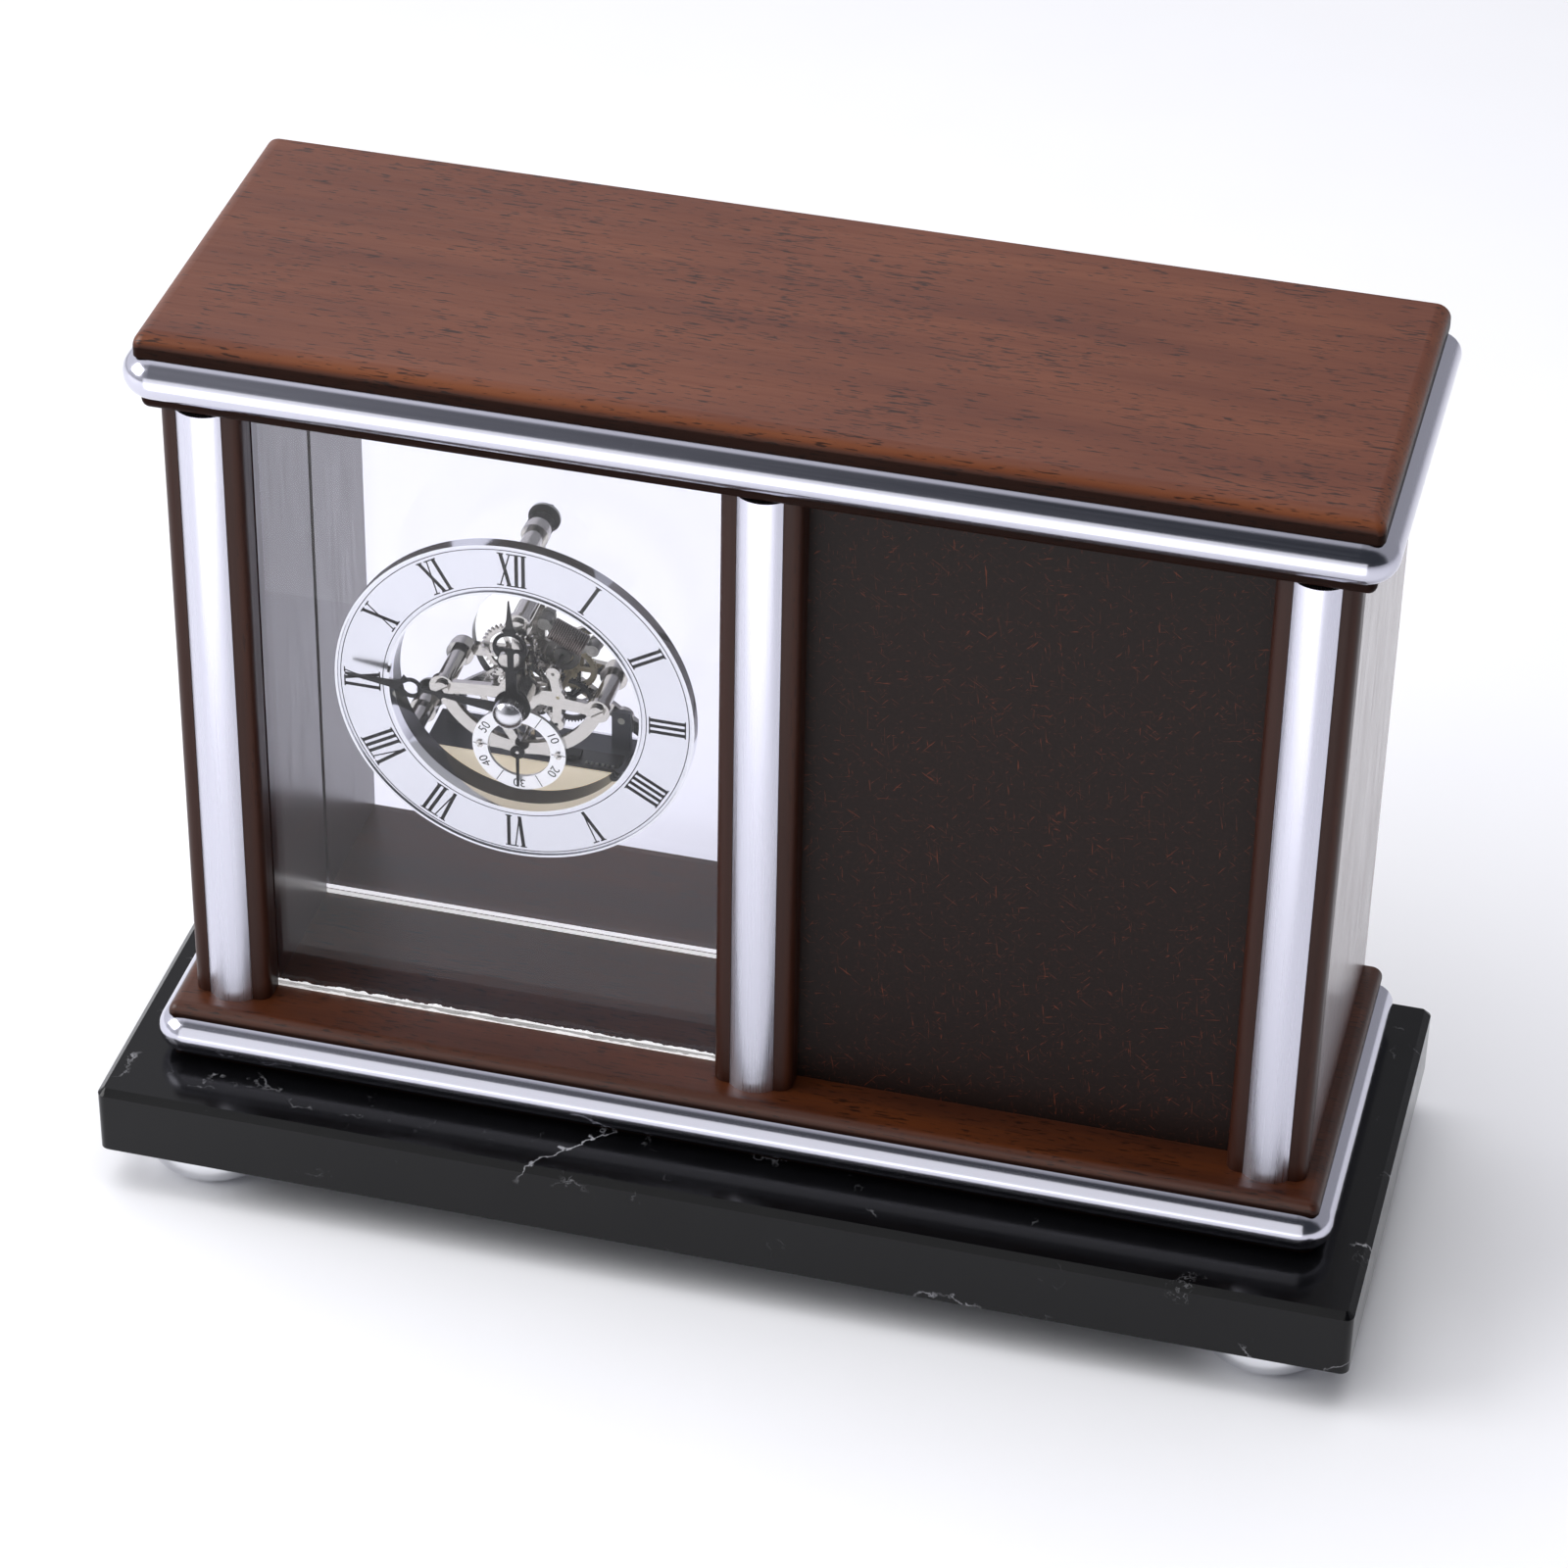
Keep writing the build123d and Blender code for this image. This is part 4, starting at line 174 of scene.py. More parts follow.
# Plinth and cornice boards: solid wood with a red-brown stain under satin lacquer, grain along the case.
# Short dark pores are scattered along the grain. Rounded edges that turn upward take a third colour: on the
# cornice an orange painted highlight, on the plinth a darker painted shade. Faces that turn sideways or
# down carry painted shade on both boards.
def stained_wood(name, grain, rounded, stains_and_light, gloss, low_gloss, coat=0.0):
    """Stained wood; grain holds how many mm a figure, a fibre and a pore run along X, Y and Z.

    The colours are the dark and light stains of the figure; the painted light on rounded edges, which are
    those that turn towards the plus side of the axis named rounded; and the stain in pores, which also
    paints shade on faces that turn sideways or down.
    """
    dark, light, edge, pore_and_shade = stains_and_light
    finish, tree, shader, place = new_finish(name)
    layers = []
    for lengths, detail in zip(grain, (4.0, 3.0, 1.0)):
        stretch = node(tree, "ShaderNodeMapping", {
            "Vector": place, "Scale": tuple(1 / (length * MM) for length in lengths)})
        layers.append(node(tree, "ShaderNodeTexNoise", {
            "Vector": stretch.outputs["Vector"], "Scale": 1.0, "Detail": detail,
            "Distortion": 0.2}).outputs["Fac"])
    figure, fibre, pore = layers
    shade = node(tree, "ShaderNodeMapRange", {
        "Value": figure, "From Min": 0.32, "From Max": 0.68, "To Min": 0.0, "To Max": 1.0})
    body = node(tree, "ShaderNodeMix", {
        0: shade.outputs["Result"], FIRST: colour(dark), SECOND: colour(light)}, data_type="RGBA")
    streak = node(tree, "ShaderNodeMapRange", {
        "Value": fibre, "From Min": 0.4, "From Max": 0.75, "To Min": 0.0, "To Max": 0.5})
    streaked = node(tree, "ShaderNodeMix", {
        0: streak.outputs["Result"], FIRST: body.outputs[MIXED], SECOND: colour(dark)}, data_type="RGBA")
    facing = node(tree, "ShaderNodeNewGeometry").outputs["Normal"]
    parts = node(tree, "ShaderNodeSeparateXYZ", {"Vector": facing}).outputs
    upward = parts["Z"]
    # painted light on the rounded edges that turn towards the axis named rounded
    edge_highlight = node(tree, "ShaderNodeValToRGB", {"Fac": parts[rounded]})
    edge_highlight.color_ramp.elements[0].position = 0.2
    edge_highlight.color_ramp.elements[0].color = (0.0, 0.0, 0.0, 1.0)
    edge_highlight.color_ramp.elements[1].position = 0.98
    edge_highlight.color_ramp.elements[1].color = (0.0, 0.0, 0.0, 1.0)
    edge_highlight.color_ramp.elements.new(0.65).color = (1.0, 1.0, 1.0, 1.0)
    kept = node(tree, "ShaderNodeMapRange", {
        "Value": figure, "From Min": 0.32, "From Max": 0.68, "To Min": 0.5, "To Max": 1.0})
    edge_highlight_share = node(tree, "ShaderNodeMath", {
        0: edge_highlight.outputs["Color"], 1: kept.outputs["Result"]}, operation="MULTIPLY")
    edged = node(tree, "ShaderNodeMix", {
        0: edge_highlight_share.outputs["Value"], FIRST: streaked.outputs[MIXED], SECOND: colour(edge)}, data_type="RGBA")
    # painted shade in the pore stain on faces that turn sideways or down
    shade_share = node(tree, "ShaderNodeMapRange", {
        "Value": upward, "From Min": 0.5, "From Max": 0.05, "To Min": 0.0, "To Max": 0.9})
    shaded = node(tree, "ShaderNodeMix", {
        0: shade_share.outputs["Result"], FIRST: edged.outputs[MIXED], SECOND: colour(pore_and_shade)}, data_type="RGBA")
    scatter = node(tree, "ShaderNodeTexNoise", {"Vector": place, "Scale": 1 / (22 * MM), "Detail": 2.0})
    open_from = node(tree, "ShaderNodeMapRange", {
        "Value": scatter.outputs["Fac"], "From Min": 0.35, "From Max": 0.65,
        "To Min": 0.67, "To Max": 0.57})
    open_pore = node(tree, "ShaderNodeMath", {
        0: pore, 1: open_from.outputs["Result"]}, operation="SUBTRACT")
    pit = node(tree, "ShaderNodeMapRange", {
        "Value": open_pore.outputs["Value"], "From Min": 0.0, "From Max": 0.06,
        "To Min": 0.0, "To Max": 0.8})
    pored = node(tree, "ShaderNodeMix", {
        0: pit.outputs["Result"], FIRST: shaded.outputs[MIXED], SECOND: colour(pore_and_shade)}, data_type="RGBA")
    rough = node(tree, "ShaderNodeMapRange", {
        "Value": fibre, "From Min": 0.3, "From Max": 0.7, "To Min": 0.33, "To Max": 0.42})
    depth = node(tree, "ShaderNodeMath", {
        0: pit.outputs["Result"], 1: -1.0, 2: fibre}, operation="MULTIPLY_ADD")
    bump = node(tree, "ShaderNodeBump", {
        "Height": depth.outputs["Value"], "Strength": 0.14, "Distance": 0.05 * MM})
    tree.links.new(pored.outputs[MIXED], shader.inputs["Base Color"])
    tree.links.new(rough.outputs["Result"], shader.inputs["Roughness"])
    tree.links.new(bump.outputs["Normal"], shader.inputs["Normal"])
    if low_gloss == gloss:
        shader.inputs["Specular IOR Level"].default_value = gloss
    else:
        shine = node(tree, "ShaderNodeMapRange", {
            "Value": upward, "From Min": 0.05, "From Max": 0.6, "To Min": low_gloss, "To Max": gloss})
        tree.links.new(shine.outputs["Result"], shader.inputs["Specular IOR Level"])
    if coat:
        lacquer = node(tree, "ShaderNodeMapRange", {
            "Value": fibre, "From Min": 0.35, "From Max": 0.65, "To Min": coat, "To Max": 0.6 * coat})
        tree.links.new(lacquer.outputs["Result"], shader.inputs["Coat Weight"])
        shader.inputs["Coat Roughness"].default_value = 0.22
    return finish


ALONG_X = ((90, 14, 14), (30, 0.9, 0.9), (4.2, 0.5, 0.5))
ALONG_Z = ((14, 14, 90), (0.9, 0.9, 30), (0.5, 0.5, 4.2))
CORNICE_STAINS_AND_LIGHT = ("#532919", "#653722", "#6e3c20", "#140805")
# The plinth takes a darker copy of the cornice stains: painted shade for a plinth that lies in shadow.
PLINTH_SHADED_STAINS = ("#3a1c10", "#572b12", "#381b10", "#140805")
dress(
    stained_wood("stained_walnut_cornice", ALONG_X, "Z", CORNICE_STAINS_AND_LIGHT, gloss=0.45, low_gloss=0.04),
    "cornice_board")
dress(
    stained_wood("stained_walnut_plinth", ALONG_X, "Z", PLINTH_SHADED_STAINS, gloss=0.5, low_gloss=0.04),
    "plinth_board")


# Side panels, partition and stiles: the same stained wood, darker, with the grain upright.
# Screws through the plinth and dowels in the cornice hold the panels, and the stiles are glued to them.
# The panels have a full coat of lacquer and mirror the room, the right one most; the stiles are duller.
# The rounded stile edges that turn to the right carry an orange painted highlight.
PANEL_STAINS = ("#3a1a12", "#54281a", "#54281a", "#3a1a12")
# The right side panel takes a lighter copy of the panel stains: painted light on that side.
SIDE_LIT_STAINS = ("#4a2017", "#642f21", "#642f21", "#4a2017")
# painted highlight: the third stile colour lights the rounded edges that turn to the right
STILE_STAINS_AND_LIGHT = ("#32180f", "#482317", "#a4582f", "#32180f")
dress(
    stained_wood("stained_walnut_panels", ALONG_Z, "X", PANEL_STAINS, gloss=0.5, low_gloss=0.5, coat=0.85),
    "left_side_panel", "partition")
dress(
    stained_wood(
        "stained_walnut_right_side", ALONG_Z, "X", SIDE_LIT_STAINS, gloss=0.6, low_gloss=0.6, coat=1.1),
    "right_side_panel")
dress(
    stained_wood("stained_walnut_stiles", ALONG_Z, "X", STILE_STAINS_AND_LIGHT, gloss=0.2, low_gloss=0.2),
    "left_stile", "middle_stile", "right_stile")


# Dowels: plain beech pins, turned and left bare, glued into the panels and the cornice.
# They are pale, with short darker flecks along the grain.
finish, tree, shader, place = new_finish("bare_beech")
stretch = node(tree, "ShaderNodeMapping", {
    "Vector": place, "Scale": (1 / (0.8 * MM), 1 / (0.8 * MM), 1 / (12 * MM))})
fleck = node(tree, "ShaderNodeTexNoise", {"Vector": stretch.outputs["Vector"], "Scale": 1.0, "Detail": 3.0})
tone = node(tree, "ShaderNodeMix", {
    0: fleck.outputs["Fac"], FIRST: colour("#b8925f"), SECOND: colour("#d8bb8c")}, data_type="RGBA")
tree.links.new(tone.outputs[MIXED], shader.inputs["Base Color"])
shader.inputs["Roughness"].default_value = 0.6
dress(finish, "cornice_dowels")


# Bands and pilasters: half-round aluminium strip, drawn, satin polished and clear anodised.
# Each is pressed and glued into its groove; faint draw lines run along it, with a few nicks.
def drawn_aluminium(name, line_mm, roughness):
    """Drawn strip; line_mm holds how many mm a draw line runs along X, Y and Z."""
    finish, tree, shader, place = new_finish(name)
    stretch = node(tree, "ShaderNodeMapping", {
        "Vector": place, "Scale": tuple(1 / (length * MM) for length in line_mm)})
    lines = node(tree, "ShaderNodeTexNoise", {
        "Vector": stretch.outputs["Vector"], "Scale": 1.0, "Detail": 3.0})
    nick = node(tree, "ShaderNodeTexNoise", {"Vector": place, "Scale": 1 / (1.6 * MM), "Detail": 2.0})
    dent = node(tree, "ShaderNodeMapRange", {
        "Value": nick.outputs["Fac"], "From Min": 0.74, "From Max": 0.8, "To Min": 0.0, "To Max": -1.0})
    height = node(tree, "ShaderNodeMath", {
        0: lines.outputs["Fac"], 1: 0.12, 2: dent.outputs["Result"]}, operation="MULTIPLY_ADD")
    bump = node(tree, "ShaderNodeBump", {
        "Height": height.outputs["Value"], "Strength": 0.25, "Distance": 0.04 * MM})
    rough = node(tree, "ShaderNodeMapRange", {
        "Value": lines.outputs["Fac"], "From Min": 0.3, "From Max": 0.7,
        "To Min": 0.8 * roughness, "To Max": 1.2 * roughness})
    shader.inputs["Base Color"].default_value = colour("#cbcbd7")
    shader.inputs["Metallic"].default_value = 1.0
    tree.links.new(rough.outputs["Result"], shader.inputs["Roughness"])
    tree.links.new(bump.outputs["Normal"], shader.inputs["Normal"])
    return finish


dress(
    drawn_aluminium("satin_aluminium_bands", line_mm=(50, 50, 0.3), roughness=0.17),
    "plinth_band", "cornice_band")
dress(
    drawn_aluminium("satin_aluminium_pilasters", line_mm=(0.3, 0.3, 50), roughness=0.3),
    "left_pilaster", "middle_pilaster", "right_pilaster")


# Front glass and rear pane: 3 mm float glass, held in the rebates and grooves of the uprights.
# The lower edge is ground white and carries a painted glow, an emission that stands in for the light that
# runs down inside the sheet; on the front glass it is nicked and chipped. Real glass has an IOR of 1.5,
# which would mirror too much of the white table over the movement.
GLASS_IOR = 1.3


def float_glass(name, sheet, tint, line_mm, chip_share, glow):
    """Clear glass over a white line along the lower edge; chips take a share of the line's height, and glow
    sets the painted glow of the line.
    """
    finish, tree, shader, place = new_finish(name)
    sheet_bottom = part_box(sheet)[0].z
    wipe = node(tree, "ShaderNodeTexNoise", {"Vector": place, "Scale": 1 / (40 * MM), "Detail": 4.0})
    haze = node(tree, "ShaderNodeMapRange", {
        "Value": wipe.outputs["Fac"], "From Min": 0.4, "From Max": 0.8, "To Min": 0.0, "To Max": 0.02})
    chip = node(tree, "ShaderNodeTexNoise", {
        "Vector": place, "Scale": 1 / (4 * MM), "Detail": 5.0, "Roughness": 0.7})
    lost = node(tree, "ShaderNodeMapRange", {
        "Value": chip.outputs["Fac"], "From Min": 0.35, "From Max": 0.6,
        "To Min": line_mm * MM, "To Max": (1 - chip_share) * line_mm * MM})
    top = node(tree, "ShaderNodeMath", {0: lost.outputs["Result"], 1: sheet_bottom}, operation="ADD")
    height = node(tree, "ShaderNodeSeparateXYZ", {"Vector": place}).outputs["Z"]
    clear = node(tree, "ShaderNodeMath", {0: height, 1: top.outputs["Value"]}, operation="GREATER_THAN")
    # A plain mix takes its value for the ground edge at socket 2 and the one for the clear sheet at 3.
    rough = node(tree, "ShaderNodeMix", {0: clear.outputs["Value"], 2: 0.7, 3: haze.outputs["Result"]})
    tone = node(tree, "ShaderNodeMix", {
        0: clear.outputs["Value"], FIRST: colour("#ffffff"), SECOND: colour(tint)}, data_type="RGBA")
    tree.links.new(rough.outputs[0], shader.inputs["Roughness"])
    tree.links.new(tone.outputs[MIXED], shader.inputs["Base Color"])
    # painted glow: emission on the ground edge line, standing in for light inside the sheet
    painted_glow = node(tree, "ShaderNodeMix", {0: clear.outputs["Value"], 2: glow, 3: 0.0})
    tree.links.new(clear.outputs["Value"], shader.inputs["Transmission Weight"])
    tree.links.new(painted_glow.outputs[0], shader.inputs["Emission Strength"])
    shader.inputs["IOR"].default_value = GLASS_IOR
    return finish


dress(
    float_glass("front_float_glass", "front_glass", "#fcfcfe", line_mm=1.1, chip_share=0.7, glow=0.5),
    "front_glass")
dress(
    float_glass("rear_float_glass", "rear_pane", "#eeeef8", line_mm=1.3, chip_share=0.0, glow=0.6),
    "rear_pane")


# Plaque panel and rear cover: 3 mm hardboard stained very dark, with short reddish fibres showing through.
# The panel stands in the front rebates, the cover is screwed on behind. The fibres lie in four directions,
# given in degrees, and have a length in millimetres for each.
FIBRE_WIDTH = 0.4 * MM
FIBRE_RUNS = ((35, 4.2), (-50, 3.4), (85, 4.6), (-10, 3.0))
finish, tree, shader, place = new_finish("stained_hardboard")
speck = node(tree, "ShaderNodeTexNoise", {
    "Vector": place, "Scale": 1 / (1.1 * MM), "Detail": 5.0, "Roughness": 0.75})
ground = node(tree, "ShaderNodeMix", {
    0: speck.outputs["Fac"], FIRST: colour("#120b09"), SECOND: colour("#281b18")}, data_type="RGBA")
fibres = ground.outputs[MIXED]
for angle, run_mm in FIBRE_RUNS:
    turn = node(tree, "ShaderNodeMapping", {
        "Vector": place, "Rotation": (0.0, radians(angle), 0.0),
        "Scale": (run_mm * MM, 3 * MM, FIBRE_WIDTH)}, vector_type="TEXTURE")
    strand = node(tree, "ShaderNodeTexNoise", {
        "Vector": turn.outputs["Vector"], "Scale": 1.0, "Detail": 1.0, "Distortion": 0.8})
    shown = node(tree, "ShaderNodeMapRange", {
        "Value": strand.outputs["Fac"], "From Min": 0.7, "From Max": 0.8, "To Min": 0.0, "To Max": 0.6})
    redder = node(tree, "ShaderNodeMix", {
        0: shown.outputs["Result"], FIRST: fibres, SECOND: colour("#7a3c26")}, data_type="RGBA")
    fibres = redder.outputs[MIXED]
bump = node(tree, "ShaderNodeBump", {
    "Height": speck.outputs["Fac"], "Strength": 0.15, "Distance": 0.04 * MM})
tree.links.new(fibres, shader.inputs["Base Color"])
tree.links.new(bump.outputs["Normal"], shader.inputs["Normal"])
shader.inputs["Roughness"].default_value = 0.45
shader.inputs["Specular IOR Level"].default_value = 0.14
dress(finish, "plaque_panel", "rear_cover")


# Dial drum: a turned channel ring, polished and chromed, that holds the dial ring.
# Its inner wall runs on back as a sleeve round the movement, which is drawn dark grey inside behind the
# dial.
drum_low, drum_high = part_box("dial_drum")
DRUM_AXIS = ((drum_low.x + drum_high.x) / 2, 0.0, (drum_low.z + drum_high.z) / 2)
SLEEVE_RADIUS = 32.9 * MM
BLACK_FROM = drum_low.y + 3.4 * MM


def from_axis(tree, place, axis):
    """The distance of each point from an axis that runs along Y."""
    level = node(tree, "ShaderNodeVectorMath", {0: place, 1: (1.0, 0.0, 1.0)}, operation="MULTIPLY")
    return node(tree, "ShaderNodeVectorMath", {
        0: level.outputs["Vector"], 1: axis}, operation="DISTANCE").outputs["Value"]


finish, tree, shader, place = chrome_plate("drum_chrome", CHROME, smudge_mm=9, smoothest=0.04, roughest=0.1)
inside = node(tree, "ShaderNodeMath", {
    0: from_axis(tree, place, DRUM_AXIS), 1: SLEEVE_RADIUS}, operation="LESS_THAN")
depth = node(tree, "ShaderNodeSeparateXYZ", {"Vector": place}).outputs["Y"]
deep = node(tree, "ShaderNodeMath", {0: depth, 1: BLACK_FROM}, operation="GREATER_THAN")
black = node(tree, "ShaderNodeMath", {
    0: inside.outputs["Value"], 1: deep.outputs["Value"]}, operation="MULTIPLY")
tone = node(tree, "ShaderNodeMix", {
    0: black.outputs["Value"], FIRST: colour(CHROME), SECOND: colour("#3a393c")}, data_type="RGBA")
tree.links.new(tone.outputs[MIXED], shader.inputs["Base Color"])
dress(finish, "dial_drum")


# Dial ring: a flat aluminium ring, fine brushed and clear lacquered, seated in the drum.
# The brushing is too fine to show at its real 0.05 mm, so it is drawn at 0.15 mm.
finish, tree, shader, place = new_finish("brushed_dial_silver")
stretch = node(tree, "ShaderNodeMapping", {
    "Vector": place, "Scale": (1 / (0.15 * MM), 1 / (5 * MM), 1 / (25 * MM))})
brush = node(tree, "ShaderNodeTexNoise", {"Vector": stretch.outputs["Vector"], "Scale": 1.0, "Detail": 2.0})
rough = node(tree, "ShaderNodeMapRange", {
    "Value": brush.outputs["Fac"], "From Min": 0.3, "From Max": 0.7, "To Min": 0.2, "To Max": 0.27})
bump = node(tree, "ShaderNodeBump", {
    "Height": brush.outputs["Fac"], "Strength": 0.15, "Distance": 0.01 * MM})
shader.inputs["Base Color"].default_value = colour("#dfe0e6")
shader.inputs["Metallic"].default_value = 1.0
tree.links.new(rough.outputs["Result"], shader.inputs["Roughness"])
tree.links.new(bump.outputs["Normal"], shader.inputs["Normal"])
dress(finish, "dial_ring")


# Printing on the dial ring: twelve radial Roman numerals and a thin line along each edge, in black ink.
# Each numeral is laid out standing up, from thick and thin strokes with serifs, and turned to its hour.
ROMAN = ("XII", "I", "II", "III", "IIII", "V", "VI", "VII", "VIII", "IX", "X", "XI")
NUMERAL_FOOT = 35.0 * MM
NUMERAL_HEIGHT = 9.6 * MM
INK = 0.03 * MM
THICK = 0.95 * MM
THIN = 0.36 * MM
PITCH = {"I": 1.75 * MM, "V": 3.9 * MM, "X": 4.1 * MM}
SERIF = 1.7 * MM
EDGE_LINES = (0.9 * MM, 12.0 * MM)
LINE_WIDTH = 0.22 * MM
LINE_STEPS = 160
ring_low, ring_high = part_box("dial_ring")
DIAL_AT = Vector(((ring_low.x + ring_high.x) / 2, ring_low.y, (ring_low.z + ring_high.z) / 2))
RING_OUTER = (ring_high.x - ring_low.x) / 2


def stroke(mesh, width, height, x, z, lean=0.0):
    """One inked stroke, a thin box; the new corners come back for turning."""
    made = bmesh.ops.create_cube(
        mesh, size=1.0,
        matrix=Matrix.Translation((x, 0.0, z)) @ Matrix.Rotation(lean, 4, "Y")
        @ Matrix.Diagonal((width, INK, height, 1.0)))
    return made["verts"]


def letter(mesh, kind, x):
    """The strokes of one letter, centred on x, from its foot up."""
    half = NUMERAL_HEIGHT / 2
    ends = (THIN / 2, NUMERAL_HEIGHT - THIN / 2)
    corners = []
    if kind == "I":
        corners += stroke(mesh, THICK, NUMERAL_HEIGHT, x, half)
        for z in ends:
            corners += stroke(mesh, SERIF, THIN, x, z)
    reach = PITCH[kind] / 2 - SERIF / 2
    if kind == "V":
        lean = atan(reach / NUMERAL_HEIGHT)
        corners += stroke(mesh, THICK, NUMERAL_HEIGHT, x - reach / 2, half, -lean)
        corners += stroke(mesh, THIN, NUMERAL_HEIGHT, x + reach / 2, half, lean)
        for side in (-1, 1):
            corners += stroke(mesh, SERIF, THIN, x + side * reach, ends[1])
    if kind == "X":
        lean = atan(2 * reach / NUMERAL_HEIGHT)
        corners += stroke(mesh, THICK, NUMERAL_HEIGHT, x, half, -lean)
        corners += stroke(mesh, THIN, NUMERAL_HEIGHT, x, half, lean)
        for side in (-1, 1):
            for z in ends:
                corners += stroke(mesh, SERIF, THIN, x + side * reach, z)
    return corners


def printed_line(mesh, centre, radius, width):
    """A thin inked ring round a centre."""
    profile = [
        mesh.verts.new((centre.x + radius + across * width, centre.y + depth * INK, centre.z))
        for across, depth in ((0, -0.5), (1, -0.5), (1, 0.5), (0, 0.5))]
    edges = [mesh.edges.new((profile[i], profile[(i + 1) % 4])) for i in range(4)]
    bmesh.ops.spin(
        mesh, geom=profile + edges, cent=centre, axis=(0, 1, 0), dvec=(0, 0, 0),
        angle=2 * pi, steps=LINE_STEPS, use_merge=True)


def add_piece(name, mesh, finish, body):
    """A finished piece at the origin, riding on its body."""
    bmesh.ops.recalc_face_normals(mesh, faces=mesh.faces)
    data = bpy.data.meshes.new(name)
    mesh.to_mesh(data)
    mesh.free()
    data.materials.append(finish)
    piece = bpy.data.objects.new(name, data)
    bpy.context.scene.collection.objects.link(piece)
    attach(piece, body)


mesh = bmesh.new()
for hour, text in enumerate(ROMAN):
    corners = []
    x = -sum(PITCH[kind] for kind in text) / 2
    for kind in text:
        corners += letter(mesh, kind, x + PITCH[kind] / 2)
        x += PITCH[kind]
    bmesh.ops.transform(
        mesh, verts=corners,
        matrix=Matrix.Translation(DIAL_AT) @ Matrix.Rotation(radians(30 * hour), 4, "Y")
        @ Matrix.Translation((0.0, 0.0, NUMERAL_FOOT)))
for inset in EDGE_LINES:
    printed_line(mesh, DIAL_AT, RING_OUTER - inset, LINE_WIDTH)
ink, tree, shader, place = new_finish("black_printing_ink")
mottle = node(tree, "ShaderNodeTexNoise", {"Vector": place, "Scale": 1 / (0.6 * MM), "Detail": 2.0})
tone = node(tree, "ShaderNodeMix", {
    0: mottle.outputs["Fac"], FIRST: colour("#08080a"), SECOND: colour("#121316")}, data_type="RGBA")
tree.links.new(tone.outputs[MIXED], shader.inputs["Base Color"])
shader.inputs["Roughness"].default_value = 0.5
shader.inputs["Specular IOR Level"].default_value = 0.15
add_piece("dial_printing", mesh, ink, "case")


# Plates, pillars, bush, screws and metal wheels of the movement: brass or steel with a bright nickel plate.
# The flat faces were brushed before plating, so their reflections are drawn out a little.
finish, tree, shader, place = new_finish("bright_nickel_plate")
stretch = node(tree, "ShaderNodeMapping", {
    "Vector": place, "Scale": (1 / (6 * MM), 1 / (0.4 * MM), 1 / (0.4 * MM))})
brush = node(tree, "ShaderNodeTexNoise", {"Vector": stretch.outputs["Vector"], "Scale": 1.0, "Detail": 3.0})
rough = node(tree, "ShaderNodeMapRange", {
    "Value": brush.outputs["Fac"], "From Min": 0.3, "From Max": 0.7, "To Min": 0.08, "To Max": 0.18})
tone = node(tree, "ShaderNodeMix", {
    0: brush.outputs["Fac"], FIRST: colour("#b9b5af"), SECOND: colour("#cbc8c3")}, data_type="RGBA")
bump = node(tree, "ShaderNodeBump", {
    "Height": brush.outputs["Fac"], "Strength": 0.12, "Distance": 0.01 * MM})
tree.links.new(tone.outputs[MIXED], shader.inputs["Base Color"])
tree.links.new(rough.outputs["Result"], shader.inputs["Roughness"])
tree.links.new(bump.outputs["Normal"], shader.inputs["Normal"])
shader.inputs["Metallic"].default_value = 1.0
dress(
    finish, "dial_pillars", "front_plate", "back_plate", "plate_pillars", "plate_screws",
    "seconds_dial_screws", "centre_bush", "hour_wheel", "minute_wheel", "centre_wheel", "third_wheel",
    "fourth_wheel", "cannon_pinion")


# Small mouldings: rubber spacers at the pane, the cream and black acetal wheels,
# the dark grey setting knob and the plain dark jacket of the cell, each with a fine moulded grain.
def moulded(name, dark, light, grain_mm, roughness, gloss=0.4, metallic=0.0):
    """A smooth even finish between two close shades, with a fine grain."""
    finish, tree, shader, place = new_finish(name)
    grain = node(tree, "ShaderNodeTexNoise", {"Vector": place, "Scale": 1 / (grain_mm * MM), "Detail": 3.0})
    tone = node(tree, "ShaderNodeMix", {
        0: grain.outputs["Fac"], FIRST: colour(dark), SECOND: colour(light)}, data_type="RGBA")
    bump = node(tree, "ShaderNodeBump", {
        "Height": grain.outputs["Fac"], "Strength": 0.15, "Distance": 0.02 * MM})
    tree.links.new(tone.outputs[MIXED], shader.inputs["Base Color"])
    tree.links.new(bump.outputs["Normal"], shader.inputs["Normal"])
    shader.inputs["Roughness"].default_value = roughness
    shader.inputs["Specular IOR Level"].default_value = gloss
    shader.inputs["Metallic"].default_value = metallic
    return finish


dress(moulded("black_rubber", "#0d0d0d", "#1a1a1a", grain_mm=0.5, roughness=0.7), "pane_spacers")
dress(moulded("cream_acetal", "#dccba0", "#eee2c2", grain_mm=1.2, roughness=0.4), "step_wheel")
dress(moulded("black_acetal", "#111113", "#1f1f22", grain_mm=1.2, roughness=0.38), "idler_wheel")
dress(moulded("dark_grey_knob", "#26282c", "#35373c", grain_mm=0.8, roughness=0.45), "setting_knob")
dress(moulded("cell_jacket", "#25282e", "#34383f", grain_mm=2.0, roughness=0.3), "battery")


